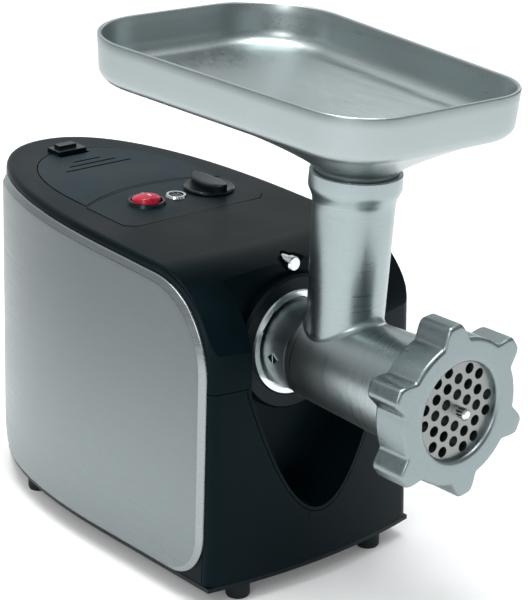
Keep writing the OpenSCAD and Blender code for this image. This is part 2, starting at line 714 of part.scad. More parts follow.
// Food tray, drawn in the feed tube's frame
spigot_r = 22.9;
module tray_outline(off) {
    hw0 = tray_w / 2 - tray_flare / 2;
    hw1 = tray_w / 2 + tray_flare / 2;
    hl = tray_len / 2;
    r = tray_corner;
    rr = tray_rear_corner;
    hull() {
        for (sx = [-1, 1]) {
            translate([sx * (hw0 - r), tray_back - hl + r]) circle(r = r - off, $fn = 48);
            translate([sx * (hw1 - rr), tray_back + hl - rr]) circle(r = rr - off, $fn = 64);
            translate([sx * (tray_w / 2 - 60 + tray_bulge), tray_back]) circle(r = 60 - off, $fn = 64);
        }
    }
}
tray_low = tray_top - tray_wall;
tray_neck_z = tube_h + 3;
module tray_dish(off, lift) hull() {
    translate([0, 0, tray_low + lift]) linear_extrude(height = tray_wall + 5) tray_outline(off);
    translate([0, 0, tray_neck_z + lift]) cylinder(r = spigot_r + 3 - off, h = 1);
}
module food_tray() color("#a3abae") on_tube() difference() {
    union() {
        intersection() {
            tray_dish(0, 0);
            translate([-big / 2, -big / 2, 0]) cube([big, big, tray_top]);
        }
        translate([0, 0, tube_h - cup_h + 0.5]) cylinder(r = spigot_r, h = cup_h + 6);
    }
    tray_dish(tray_t, tray_t + 0.6);
    cylinder(r = throat_r + 1, h = tray_top);
}

// Controls on the top
module plate_outline(off) {
    w = plate_w - off;
    polygon(concat([[-w + 6, plate_y + off], [w - 6, plate_y + off], [w, plate_y + 6 + off]],
        [for (i = [8:-1:-8]) let (x = w * i / 8)
            [x, plate_y + plate_len - off + plate_bulge * (1 - i * i / 64)]],
        [[-w, plate_y + 6 + off]]));
}
module lid_outline(off) {
    w = lid_w - off;
    lid_y = plate_y + plate_len + plate_lid_gap + off;
    polygon(concat([for (i = [-8:8]) let (x = w * i / 8) [x, lid_y + plate_bulge * (1 - i * i / 64)]],
        [for (i = [1:19]) let (a = 9 * i)
            [w * cos(a), lid_y + (lid_rear_y - off - lid_y) * pow(abs(sin(a)), 0.75)]]));
}
module flat_cover(t) on_top(0, 0) translate([0, 0, -t]) linear_extrude(height = t) children();
module control_plate() color("#262e33") difference() {
    flat_cover(lid_t) plate_outline(0);
    on_top(rocker_x, row_y) translate([0, 0, -5]) cylinder(r = bezel_r - 1.5, h = 10);
    on_top(signal_x, row_y) translate([0, 0, -5]) cylinder(r = signal_r - 1, h = 10);
    on_top(knob_x, row_y) translate([0, 0, -5]) cylinder(r = 4.5, h = 10);
}
module switch_bezel() color("#101314") on_top(rocker_x, row_y) difference() {
    union() {
        cylinder(r1 = bezel_r, r2 = bezel_r - 1, h = 2);
        translate([0, 0, -4]) cylinder(r = bezel_r - 1.6, h = 4.1);
    }
    translate([0, 0, -6]) cylinder(r = rocker_r + 0.8, h = 10);
}
rocker_r = 8.7;
module power_rocker() color("#b01724") on_top(rocker_x, row_y) translate([0, 0, -rocker_axis])
    rotate([rocker_tip, 0, 0]) translate([0, 0, rocker_axis]) intersection() {
        translate([0, 0, -4]) cylinder(r = rocker_r, h = 12);
        translate([-12, 0, -13]) rotate([0, 90, 0]) cylinder(r = 18.5, h = 24);
    }
rocker_axis = 2;
rocker_tip = -8;
module signal_ring() color("#c5cacc") on_top(signal_x, row_y) difference() {
    union() {
        cylinder(r1 = signal_r, r2 = signal_r - 0.6, h = 1.2);
        translate([0, 0, -4]) cylinder(r = signal_r - 1.1, h = 4.1);
    }
    translate([0, 0, -6]) cylinder(r = signal_r - 1.9, h = 10);
}
module signal_grille() color("#3a4145") on_top(signal_x, row_y) {
    translate([0, 0, -3.5]) cylinder(r = signal_r - 2, h = 2);
    for (i = [-2:2]) intersection() {
        translate([i * 1.8 - 0.4, -6, -2]) cube([0.8, 12, 2.6]);
        translate([0, 0, -3]) cylinder(r = signal_r - 2, h = 5);
    }
}
knob_gap = 0.4;
module selector_knob() color("#15191b") on_top(knob_x, row_y) {
    translate([0, 0, knob_gap]) cylinder(r1 = knob_r, r2 = knob_r - 1, h = 4);
    translate([0, 0, knob_gap + 3.9]) intersection() {
        translate([-4.5, -knob_r - 3, 0]) cube([9, 2 * knob_r + 6, 9]);
        translate([-10, 0, 34]) rotate([0, 90, 0]) cylinder(r = 34, h = 20);
        cylinder(r = knob_r + 1.5, h = 12);
    }
    translate([0, 0, -6]) cylinder(r = 4, h = 7);
}
module rocker_switch_body() color("#1b1f22") on_top(rocker_x, row_y) {
    translate([-7, -9.5, -24]) cube([14, 19, 18]);
    for (y = [-6, 0, 6]) translate([-0.4, y - 2, -31]) cube([0.8, 4, 7.5]);
}
module selector_switch_body() color("#30363a") on_top(knob_x, row_y) {
    translate([-11, -11, -20]) cube([22, 22, 13.5]);
    for (x = [-7, 0, 7]) translate([x - 0.4, -2, -27]) cube([0.8, 4, 7.5]);
}
module circuit_board() color("#1f5a3a") {
    translate([-40, row_y - 22, top_z(row_y) - 52]) cube([70, 44, 1.6]);
    translate([-30, row_y - 12, top_z(row_y) - 50.5]) cube([16, 12, 9]);
    translate([4, row_y - 16, top_z(row_y) - 50.5]) cube([20, 26, 7]);
}

// Storage: bin, lift-off lid and latch
module accessory_bin() color("#1b2125") difference() {
    union() {
        flat_shift(-lid_t - 1.4 - bin_depth, bin_depth) lid_outline(4.5);
        flat_shift(-lid_t - 2.4, 1.4) lid_outline(-1.5);
        flat_shift(-lid_t - 2.4, 2.3) lid_outline(1);
    }
    flat_shift(-lid_t - bin_depth + 0.6, bin_depth + 5) lid_outline(6.5);
    latch_room(1);
}
module flat_shift(z, h) on_top(0, 0) translate([0, 0, z]) linear_extrude(height = h) children();
module storage_lid() color("#262e33") difference() {
    flat_cover(lid_t) lid_outline(0);
    lid_grip_slots();
    latch_room(0);
}
slot_y = lid_rear_y - 36;
module lid_grip_slots() for (i = [0:2]) on_top(0, slot_y + i * 6.5)
    translate([-24.5 + i * 7.2, -0.8, -1.2]) cube([49 - i * 14.4, 1.6, 3]);
latch_w = 21;
latch_len = 12;
latch_y = lid_rear_y - 2;
latch_travel = 3;
module latch_room(down) on_top(0, latch_y) translate([-latch_w / 2 - 0.4, -latch_len / 2 - latch_travel - 0.4,
    -lid_t - 0.1 - 2 * down]) cube([latch_w + 0.8, latch_len + latch_travel + 0.8, 20]);
module lid_latch() color("#0e1112") on_top(0, latch_y) {
    translate([-latch_w / 2, -latch_len / 2, 0.3 - lid_t]) cube([latch_w, latch_len, lid_t + 2]);
    translate([-latch_w / 2 + 4, -1, 2.2]) cube([latch_w - 8, latch_len / 2 - 0.4, 2]);
}

// Release button with its spring, beside the hub
button_z = hub_z + 45.6;
button_r = 4.3;
lock_r = 1.2;
roll_mid_y = front_y + roll_r;
button_y = roll_mid_y - sqrt(roll_r * roll_r - (button_z - roll_z) * (button_z - roll_z));
module release_button() color("#c5cacc") translate([0, button_y, button_z]) rotate([-90, 0, 0]) {
    translate([0, 0, -0.6]) cylinder(r1 = button_r - 0.7, r2 = button_r, h = 0.7);
    translate([0, 0, 0.1]) cylinder(r = button_r, h = 2.9);
    cylinder(r = lock_r, h = case_y + case_t + 2 - button_y);
}
module button_spring() color("#b5babd") translate([0, button_y + 3.1, button_z]) rotate([-90, 0, 0])
    difference() {
        cylinder(r = 3.6, h = case_y - 0.1 - button_y - 3.1);
        translate([0, 0, -1]) cylinder(r = 2.8, h = 40);
    }

// Feet, screws and the cable inlet
module rubber_feet() color("#101214") foot_places() {
    cylinder(r1 = foot_r - 0.6, r2 = foot_r, h = 1.5);
    translate([0, 0, 1.5]) cylinder(r = foot_r, h = foot_h - 1.5);
}
module base_screws() color("#b5babd") screw_places() {
    translate([0, 0, -1.6]) cylinder(r = 3.6, h = 1.6);
    translate([0, 0, 0]) cylinder(r = 2, h = 11);
}
gland_z = 34;
gland_r = 6.5;
module cable_grommet() color("#101214") translate([0, gland_y, gland_z]) rotate([-90, 0, 0]) difference() {
    union() {
        cylinder(r = gland_r, h = 8);
        cylinder(r = gland_r + 2, h = 8 - shell_t - 1.6);
    }
    translate([0, 0, -1]) cylinder(r = 3.6, h = 20);
}
gland_y = rear_y - 8.6;

base_pan();
upper_shell();
front_panel();
side_panel_left();
side_panel_right();
hub_collar();
hub_socket();
control_plate();
switch_bezel();
signal_ring();
signal_grille();
accessory_bin();
rubber_feet();
base_screws();
cable_grommet();
gearbox_case();
gearbox_cover();
output_bush();
motor_cradle();
field_stack();
field_coils();
motor_end_frame();
rotor_bearings();
brush_holders();
carbon_brushes();
motor_screws();
circuit_board();
rocker_switch_body();
selector_switch_body();
power_rocker();
selector_knob();
storage_lid();
lid_latch();
release_button();
button_spring();
rotor_shaft();
rotor_core();
commutator();
cooling_fan();
motor_pinion();
intermediate_shaft();
intermediate_wheel();
intermediate_pinion();
output_gear();
output_shaft();
scroll();
scroll_pin();
knife();
head_casting();
scroll_bush();
hole_plate();
plate_key();
ring_nut();
food_tray();
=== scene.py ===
import json
import math

import bpy
import bmesh
from mathutils import Matrix, Vector


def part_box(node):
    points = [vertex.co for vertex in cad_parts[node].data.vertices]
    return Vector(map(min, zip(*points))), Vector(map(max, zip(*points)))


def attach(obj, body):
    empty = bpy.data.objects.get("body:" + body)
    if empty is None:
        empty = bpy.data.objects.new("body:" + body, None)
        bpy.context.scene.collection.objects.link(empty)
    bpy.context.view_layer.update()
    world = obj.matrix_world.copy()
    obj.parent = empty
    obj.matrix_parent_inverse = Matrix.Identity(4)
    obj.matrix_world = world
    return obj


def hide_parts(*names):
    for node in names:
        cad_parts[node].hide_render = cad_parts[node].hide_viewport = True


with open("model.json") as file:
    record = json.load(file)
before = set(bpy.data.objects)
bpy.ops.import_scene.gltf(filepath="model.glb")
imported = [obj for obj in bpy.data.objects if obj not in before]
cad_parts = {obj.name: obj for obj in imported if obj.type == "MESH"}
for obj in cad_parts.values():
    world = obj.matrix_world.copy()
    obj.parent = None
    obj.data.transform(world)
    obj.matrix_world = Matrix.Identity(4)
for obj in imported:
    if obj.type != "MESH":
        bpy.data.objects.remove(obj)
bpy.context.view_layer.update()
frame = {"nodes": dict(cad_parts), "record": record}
nodes = frame["nodes"]
print("frame loaded:", len(nodes), "nodes")

mm = 0.001

# where the big pieces sit, in millimetres
place = dict(hubY=-60.5, hubZ=137.4, nutY=-190.5, plateY=-172.4, tubeY=-98.7, tubeLean=2.7, tubeTurn=0.95,
    frontY=-85.0, floorY=-54.5, rowY=55.3, buttonUp=45.6, cordZ=34.0)


# materials are built from these few helpers
def newMaterial(name, base, roughness, metallic=0.0, coat=0.0, coatRoughness=0.1, specular=0.5):
    mat = bpy.data.materials.new(name)
    mat.use_nodes = True
    shader = mat.node_tree.nodes["Principled BSDF"]
    shader.inputs["Base Color"].default_value = (*base, 1)
    shader.inputs["Roughness"].default_value = roughness
    shader.inputs["Metallic"].default_value = metallic
    shader.inputs["Coat Weight"].default_value = coat
    shader.inputs["Coat Roughness"].default_value = coatRoughness
    shader.inputs["Specular IOR Level"].default_value = specular
    return mat, mat.node_tree, shader


def noise(tree, stretch, scale, detail=4.0, rough=0.55):
    coord = tree.nodes.new("ShaderNodeTexCoord")
    mapping = tree.nodes.new("ShaderNodeMapping")
    mapping.inputs["Scale"].default_value = stretch
    tex = tree.nodes.new("ShaderNodeTexNoise")
    tex.inputs["Scale"].default_value = scale
    tex.inputs["Detail"].default_value = detail
    tex.inputs["Roughness"].default_value = rough
    tree.links.new(coord.outputs["Object"], mapping.inputs["Vector"])
    tree.links.new(mapping.outputs["Vector"], tex.inputs["Vector"])
    return tex


def ramp(tree, source, low, high, start=0.3, end=0.7):
    node = tree.nodes.new("ShaderNodeMapRange")
    node.inputs["From Min"].default_value = start
    node.inputs["From Max"].default_value = end
    node.inputs["To Min"].default_value = low
    node.inputs["To Max"].default_value = high
    tree.links.new(source.outputs[0], node.inputs["Value"])
    return node


def tint(tree, source, dark, light, start=0.35, end=0.65):
    node = tree.nodes.new("ShaderNodeValToRGB")
    node.color_ramp.elements[0].color = (*dark, 1)
    node.color_ramp.elements[1].color = (*light, 1)
    node.color_ramp.elements[0].position = start
    node.color_ramp.elements[1].position = end
    tree.links.new(source.outputs[0], node.inputs["Fac"])
    return node


def bump(tree, shader, source, strength, distance):
    node = tree.nodes.new("ShaderNodeBump")
    node.inputs["Strength"].default_value = strength
    node.inputs["Distance"].default_value = distance
    tree.links.new(source.outputs[0], node.inputs["Height"])
    tree.links.new(node.outputs["Normal"], shader.inputs["Normal"])
    return node


def mouldedPlastic(name, base, roughness, grain, grainSize, coat=0.0, specular=0.5):
    mat, tree, shader = newMaterial(name, base, roughness, coat=coat, specular=specular)
    shader.inputs["Specular Tint"].default_value = (0.66, 0.92, 1.0, 1)
    cloud = noise(tree, (1, 1, 1), 22, 3)
    wear = ramp(tree, cloud, roughness - 0.05, roughness + 0.06)
    tree.links.new(wear.outputs[0], shader.inputs["Roughness"])
    lighter = tuple(c * 1.14 for c in base)
    darker = tuple(c * 0.88 for c in base)
    tree.links.new(tint(tree, cloud, darker, lighter).outputs[0], shader.inputs["Base Color"])
    fine = noise(tree, (1, 1, 1), grainSize, 2)
    bump(tree, shader, fine, grain, 0.0003)
    return mat


def brushedMetal(name, base, roughness, stretch, scale, depth=0.12, contrast=0.10, paintedShade=None):
    mat, tree, shader = newMaterial(name, base, roughness, metallic=1.0)
    lines = noise(tree, stretch, scale, 6, 0.65)
    cloud = noise(tree, (1, 1, 1), 14, 3)
    mix = tree.nodes.new("ShaderNodeMath")
    mix.operation = "MULTIPLY_ADD"
    mix.inputs[1].default_value = 0.35
    tree.links.new(cloud.outputs[0], mix.inputs[0])
    tree.links.new(lines.outputs[0], mix.inputs[2])
    wear = ramp(tree, mix, roughness - 0.07, roughness + 0.09, 0.45, 0.9)
    tree.links.new(wear.outputs[0], shader.inputs["Roughness"])
    dark = tuple(c * (1 - contrast) for c in base)
    light = tuple(min(1.0, c * (1 + contrast * 0.5)) for c in base)
    colour = tint(tree, mix, dark, light, 0.45, 0.9)
    if paintedShade:  # painted shade, the colour darker towards the top: lowZ, highZ, and the strength of the colour at each
        where = tree.nodes.new("ShaderNodeTexCoord")
        split = tree.nodes.new("ShaderNodeSeparateXYZ")
        level = tree.nodes.new("ShaderNodeMapRange")
        level.interpolation_type = "SMOOTHSTEP"
        for label, value in zip(("From Min", "From Max", "To Min", "To Max"), paintedShade):
            level.inputs[label].default_value = value
        shade = tree.nodes.new("ShaderNodeVectorMath")
        shade.operation = "SCALE"
        tree.links.new(where.outputs["Object"], split.inputs[0])
        tree.links.new(split.outputs["Z"], level.inputs["Value"])
        tree.links.new(colour.outputs[0], shade.inputs[0])
        tree.links.new(level.outputs[0], shade.inputs["Scale"])
        colour = shade
    tree.links.new(colour.outputs[0], shader.inputs["Base Color"])
    bump(tree, shader, lines, depth, 0.0002)
    return mat


finish = dict(
    blackMatt=mouldedPlastic("blackMatt", (0.0012, 0.0048, 0.0066), 0.36, 0.12, 2400, specular=0.08),
    # blackTopPaintedLight: a lighter copy of blackMatt for the plate and lid on top, painted light from above
    blackTopPaintedLight=mouldedPlastic("blackTopPaintedLight", (0.0045, 0.0130, 0.0175), 0.42, 0.14, 2400, specular=0.11),
    blackSatin=mouldedPlastic("blackSatin", (0.0035, 0.0055, 0.0065), 0.36, 0.10, 1800, specular=0.18),
    blackGloss=mouldedPlastic("blackGloss", (0.0030, 0.0045, 0.0055), 0.24, 0.04, 900, 0.05, 0.3),
    redGloss=mouldedPlastic("redGloss", (0.50, 0.003, 0.030), 0.24, 0.03, 900, 0.1, 0.35),
    whiteMark=mouldedPlastic("whiteMark", (0.85, 0.85, 0.85), 0.4, 0.05, 900),
    # paleBarPaintedReflection: a pale colour for the bright steel signal bars, a painted reflection
    paleBarPaintedReflection=mouldedPlastic("paleBarPaintedReflection", (0.42, 0.48, 0.49), 0.3, 0.05, 900),
    rubberFoot=mouldedPlastic("rubberFoot", (0.008, 0.009, 0.010), 0.62, 0.3, 1600, specular=0.3),
    # panelSteel: painted shade, its colour darkened towards the top of the panel
    panelSteel=brushedMetal("panelSteel", (0.215, 0.247, 0.252), 0.31, (0.6, 0.6, 60), 30, 0.05, 0.07,
        paintedShade=(0.03, 0.185, 1.0, 0.62)),
    # rimSteelPaintedHighlight: a lighter copy of panelSteel for the rolled rim, a painted highlight
    rimSteelPaintedHighlight=brushedMetal("rimSteelPaintedHighlight", (0.30, 0.33, 0.335), 0.26, (0.6, 0.6, 60), 30, 0.04, 0.05),
    barrelMetal=brushedMetal("barrelMetal", (0.38, 0.43, 0.44), 0.31, (0.5, 60, 0.5), 20, 0.003, 0.04),
    tubeMetal=brushedMetal("tubeMetal", (0.33, 0.385, 0.395), 0.31, (0.5, 0.5, 60), 20, 0.003, 0.04),
    trayMetal=brushedMetal("trayMetal", (0.37, 0.415, 0.42), 0.33, (40, 0.6, 50), 22, 0.004, 0.04),
    nutMetal=brushedMetal("nutMetal", (0.26, 0.305, 0.315), 0.32, (1, 1, 1), 300, 0.12, 0.06),
    plateMetal=brushedMetal("plateMetal", (0.27, 0.285, 0.275), 0.34, (1, 1, 1), 150, 0.12, 0.12),
    brightSteel=brushedMetal("brightSteel", (0.66, 0.70, 0.71), 0.15, (1, 20, 1), 40, 0.03, 0.05),
    dieCast=brushedMetal("dieCast", (0.44, 0.47, 0.48), 0.45, (1, 1, 1), 220, 0.3, 0.12),
    lamination=brushedMetal("lamination", (0.30, 0.31, 0.32), 0.42, (0.5, 160, 0.5), 20, 0.4, 0.2),
    copper=brushedMetal("copper", (0.62, 0.27, 0.12), 0.3, (0.5, 160, 0.5), 20, 0.4, 0.15),
    bronze=brushedMetal("bronze", (0.60, 0.42, 0.22), 0.38, (1, 1, 1), 120, 0.15, 0.1),
    naturalNylon=mouldedPlastic("naturalNylon", (0.72, 0.68, 0.58), 0.42, 0.1, 800),
    carbonBlock=mouldedPlastic("carbonBlock", (0.03, 0.03, 0.03), 0.6, 0.3, 1400),
    boardGreen=mouldedPlastic("boardGreen", (0.04, 0.20, 0.10), 0.4, 0.1, 700),
)

# finish of each record slot, for the CAD pieces that stay
slotFinish = dict(black_matt="blackMatt", black_satin="blackSatin", black_gloss="blackGloss",
    brushed_steel="panelSteel", cast_aluminium="barrelMetal", nut_aluminium="nutMetal",
    tool_steel="plateMetal", bright_steel="brightSteel", red_plastic="redGloss", rubber="rubberFoot",
    die_cast="dieCast", nylon="naturalNylon", bronze="bronze", copper="copper",
    lamination="lamination", carbon="carbonBlock", board="boardGreen")
softEdge = dict(default=0.35, hub_socket=0.6, hub_collar=0.7, control_plate=0.5, storage_lid=0.5,
    lid_latch=0.6, power_rocker=0.9, switch_bezel=0.5, selector_knob=0.6, rubber_feet=0.8, base_pan=0.8,
    hole_plate=0.15, release_button=0.4, accessory_bin=0.5)  # millimetres
for part in frame["record"]["subparts"]:
    piece = nodes[part["node"]]
    piece.data.materials.clear()
    piece.data.materials.append(finish[slotFinish[part["material_slot"]]])
    edge = piece.modifiers.new("softEdge", "BEVEL")
    edge.width = softEdge.get(part["node"], softEdge["default"]) * mm
    edge.segments = 2
    edge.limit_method = "ANGLE"
    edge.angle_limit = math.radians(38)
    edge.harden_normals = False
# the plate and lid on top take the lighter black, painted light
nodes["control_plate"].data.materials[0] = finish["blackTopPaintedLight"]
nodes["storage_lid"].data.materials[0] = finish["blackTopPaintedLight"]
nodes["signal_grille"].data.materials[0] = finish["blackGloss"]
print("finishes on", len(nodes), "nodes")


def meshObject(name, points, faces, material=None, sharp=32):
    data = bpy.data.meshes.new(name)
    data.from_pydata([(p[0] * mm, p[1] * mm, p[2] * mm) for p in points], [], faces)
    bm = bmesh.new()
    bm.from_mesh(data)
    bmesh.ops.remove_doubles(bm, verts=bm.verts, dist=0.00001)
    bmesh.ops.recalc_face_normals(bm, faces=bm.faces)
    bm.to_mesh(data)
    bm.free()
    smooth(data, sharp)
    if material:
        data.materials.append(finish[material])
    obj = bpy.data.objects.new(name, data)
    bpy.context.scene.collection.objects.link(obj)
    return obj


def smooth(data, sharp):
    data.shade_smooth()
    data.set_sharp_from_angle(angle=math.radians(sharp))


def gridFaces(rows, count, closed=True, loop=False):
    faces = []
    for r in range(rows if loop else rows - 1):
        for c in range(count if closed else count - 1):
            d, n = (c + 1) % count, (r + 1) % rows
            faces.append((r * count + c, r * count + d, n * count + d, n * count + c))
    return faces


def spun(name, profile, material, spin, count=128, loop=True, sharp=32):
    points = []
    for radius, along in profile:
        for i in range(count):
            a = 2 * math.pi * i / count
            points.append(spin(radius * math.cos(a), radius * math.sin(a), along))
    faces = gridFaces(len(profile), count, True, loop)
    if not loop:
        faces += [tuple(range(count)), tuple(range(len(points) - 1, len(points) - count - 1, -1))]
    return meshObject(name, points, faces, material, sharp)


def onAxis(u, v, y):  # round the drive axis
    return (u, y, place["hubZ"] + v)


leanAngle = math.radians(place["tubeLean"])
turnAngle = math.radians(place["tubeTurn"])


def onTube(x, y, z):  # in the leaning frame of the feed tube
    back = y * math.cos(leanAngle) - z * math.sin(leanAngle)
    high = y * math.sin(leanAngle) + z * math.cos(leanAngle)
    return (x * math.cos(turnAngle) + high * math.sin(turnAngle), place["tubeY"] + back,
        place["hubZ"] - x * math.sin(turnAngle) + high * math.cos(turnAngle))


def extrude(name, outline, low, high, put):
    count = len(outline)
    points = [put(a, b, low) for a, b in outline] + [put(a, b, high) for a, b in outline]
    faces = gridFaces(2, count) + [tuple(range(count)), tuple(range(2 * count - 1, count - 1, -1))]
    return meshObject(name, points, faces)


def boolean(obj, cutter, kind="DIFFERENCE"):
    mod = obj.modifiers.new("cut", "BOOLEAN")
    mod.operation = kind
    mod.object = cutter
    mod.solver = "EXACT"
    evaluated = obj.evaluated_get(bpy.context.evaluated_depsgraph_get())
    data = bpy.data.meshes.new_from_object(evaluated)
    obj.modifiers.clear()
    old = obj.data
    obj.data = data
    bpy.data.meshes.remove(old)
    return obj


def dropAway(*objs):
    for obj in objs:
        bpy.data.objects.remove(obj, do_unlink=True)


def copyOf(obj, name):
    new = bpy.data.objects.new(name, obj.data.copy())
    bpy.context.scene.collection.objects.link(new)
    return new


def bevelled(obj, width, angle=35, segments=3):
    edge = obj.modifiers.new("softEdge", "BEVEL")
    edge.width = width * mm
    edge.segments = segments
    edge.limit_method = "ANGLE"
    edge.angle_limit = math.radians(angle)
    return obj


def fit(obj, body, slotName, *replaced):
    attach(obj, body)
    if replaced:
        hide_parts(*replaced)


# housing: a bowed front, a rolled top edge and a long rounded rear
housing = dict(halfWidth=76.3, height=190.0, bow=8.0, roll=54.0, rise=0.05, lean=4.0, rear=194.6,
    rearRound=170.0, power=2.2, baseZ=13.7, wall=2.5, topEdge=4.5, corner=5.5, seamZ=127.7, gap=0.5,
    across=280, along=56, edgeRows=7, wallRows=14, centreY=60.0)


def bowRadius(off):
    h = housing
    return (h["halfWidth"] ** 2 + h["bow"] ** 2) / (2 * h["bow"]) - off


bowY = place["frontY"] + bowRadius(0)


def topAt(x, y, off=0.0):
    h = housing
    rho = math.hypot(x, y - bowY)
    inner = bowRadius(0) - h["roll"]
    if rho < inner:
        return h["height"] - off + h["rise"] * (inner - rho)
    r = h["roll"] - off
    return h["height"] - h["roll"] + math.sqrt(max(0.0, r * r - (rho - inner) ** 2))


def leanScale(z):
    h = housing
    s = h["lean"] * z / h["height"]
    return 1 - s / h["halfWidth"], 1 - s / h["rear"]


def bend(start, corner, end, steps):  # a curve from start to end that leans on the corner
    places = [i / steps for i in range(1, steps)]
    return [start * (1 - t) ** 2 + corner * 2 * t * (1 - t) + end * t * t for t in places]


def housingOutline(off, count):
    h = housing
    hw, br, trim = h["halfWidth"] - off, bowRadius(off), h["corner"]

    def frontEdge(x):
        return Vector((x, bowY - math.sqrt(br * br - x * x)))

    low = frontEdge(hw).y
    roundY = h["rear"] - h["rearRound"]
    pts = [tuple(frontEdge((hw - trim) * i / 30)) for i in range(-30, 31)]
    pts += bend(frontEdge(hw - trim), frontEdge(hw), Vector((hw, low + trim)), 14)
    pts += [(hw, low + trim + (roundY - low - trim) * i / 30) for i in range(30)]
    for i in range(121):
        a = math.pi * i / 120
        c, s = math.cos(a), math.sin(a)
        across = math.copysign(hw * abs(c) ** (2 / h["power"]), c)
        pts.append((across, roundY + (h["rearRound"] - off) * abs(s) ** (2 / h["power"])))
    pts += [(-hw, roundY + (low + trim - roundY) * i / 30) for i in range(1, 31)]
    pts += bend(Vector((-hw, low + trim)), frontEdge(-hw), frontEdge(trim - hw), 14)
    return evenly(pts, count)


def evenly(pts, count):
    pts = [Vector(p) for p in pts]
    n = len(pts)
    lengths = [0.0]
    for i in range(n):
        lengths.append(lengths[-1] + (pts[(i + 1) % n] - pts[i]).length)
    total, out, k = lengths[-1], [], 0
    for i in range(count):
        want = total * i / count
        while lengths[k + 1] < want:
            k += 1
        t = (want - lengths[k]) / max(1e-9, lengths[k + 1] - lengths[k])
        out.append(tuple(pts[k].lerp(pts[(k + 1) % n], t)))
    return out


def housingBlock(name, off, low):
    h = housing
    outline = housingOutline(off, h["across"])
    centre = (0.0, h["centreY"])
    rows = [[] for _ in range(h["along"] + h["edgeRows"] + h["wallRows"])]
    for x0, y0 in outline:
        lo, hi = 60.0, 215.0
        for _ in range(40):
            z = (lo + hi) / 2
            sx, sy = leanScale(z)
            if topAt(x0 * sx, y0 * sy, off) > z:
                lo = z
            else:
                hi = z
        sx, sy = leanScale(lo)
        j = Vector((x0 * sx, y0 * sy, lo))
        line = []
        for i in range(241):
            s = 1 - (1 - i / 240) ** 2.2
            x, y = centre[0] + (j.x - centre[0]) * s, centre[1] + (j.y - centre[1]) * s
            line.append(Vector((x, y, min(topAt(x, y, off), 400))))
        line[-1] = j
        bx, by = leanScale(low)
        foot = Vector((x0 * bx, y0 * by, low))
        into = (line[-1] - line[-8]).normalized()
        down = (foot - j).normalized()
        turn = into.angle(down)
        trim = h["topEdge"] * math.tan(turn / 2) if off == 0 else 0.4
        trim = max(trim, 0.4)
        lengths = [0.0]
        for a, b in zip(line, line[1:]):
            lengths.append(lengths[-1] + (b - a).length)
        end = lengths[-1] - trim
        k = 0
        first = []
        for i in range(h["along"]):
            want = end * (0.02 + 0.98 * i / (h["along"] - 1))
            while lengths[k + 1] < want:
                k += 1
            t = (want - lengths[k]) / max(1e-9, lengths[k + 1] - lengths[k])
            first.append(line[k].lerp(line[k + 1], t))
        s, e = first[-1], j + down * trim
        curve = bend(s, j, e, h["edgeRows"] + 1)
        wall = [e.lerp(foot, i / (h["wallRows"] - 1)) for i in range(h["wallRows"])]
        for r, p in enumerate(first + curve + wall):
            rows[r].append(tuple(p))
    count = len(outline)
    points = [p for row in rows for p in row]
    faces = gridFaces(len(rows), count)
    faces.append(tuple(range(count)))
    base = (len(rows) - 1) * count
    faces.append(tuple(range(base + count - 1, base - 1, -1)))
    return meshObject(name, points, faces)


recess = dict(width=49.0, low=45.0, shoulder=124.0, top=230.0, wall=2.2)


def recessOutline(grow):
    w = recess["width"] + grow
    drop = recess["shoulder"] - recess["low"]
    pts = []
    for i in range(-32, 33):
        x = w * i / 32
        pts.append((x, recess["shoulder"] - (drop + grow) * (1 - (x / w) ** 2)))
    return pts + [(w, recess["top"]), (-w, recess["top"])]


def frontPut(x, z, y):
    return (x, y, z)


def box(name, lows, highs):
    outline = [(lows[0], lows[1]), (highs[0], lows[1]), (highs[0], highs[1]), (lows[0], highs[1])]
    return extrude(name, outline, lows[2], highs[2], lambda a, b, c: (a, b, c))


topTilt = math.atan(housing["rise"])


def topPut(x, y, d):  # a place on the top, d above it
    z = housing["height"] + housing["rise"] * (y - (place["frontY"] + housing["roll"]))
    return (x, y - d * math.sin(topTilt), z + d * math.cos(topTilt))


controls = dict(plateHalf=51.5, plateY=26.0, plateLen=41.0, bulge=14.0, gap=3.2, lidHalf=50.0, lidRear=162.0)


def plateOutline(off):
    c = controls
    w = c["plateHalf"] - off
    pts = [(-w + 6, c["plateY"] + off), (w - 6, c["plateY"] + off), (w, c["plateY"] + 6 + off)]
    for i in range(24, -25, -1):
        pts.append((w * i / 24, c["plateY"] + c["plateLen"] - off + c["bulge"] * (1 - (i / 24) ** 2)))
    return pts + [(-w, c["plateY"] + 6 + off)]


def lidOutline(off):
    c = controls
    w = c["lidHalf"] - off
    y = c["plateY"] + c["plateLen"] + c["gap"] + off
    pts = [(w * i / 24, y + c["bulge"] * (1 - (i / 24) ** 2)) for i in range(-24, 25)]
    for i in range(1, 48):
        a = math.pi * i / 48
        pts.append((w * math.cos(a), y + (c["lidRear"] - off - y) * abs(math.sin(a)) ** 0.75))
    return pts


def cut(obj, *cutters):
    for cutter in cutters:
        boolean(obj, cutter)
        dropAway(cutter)
    return obj


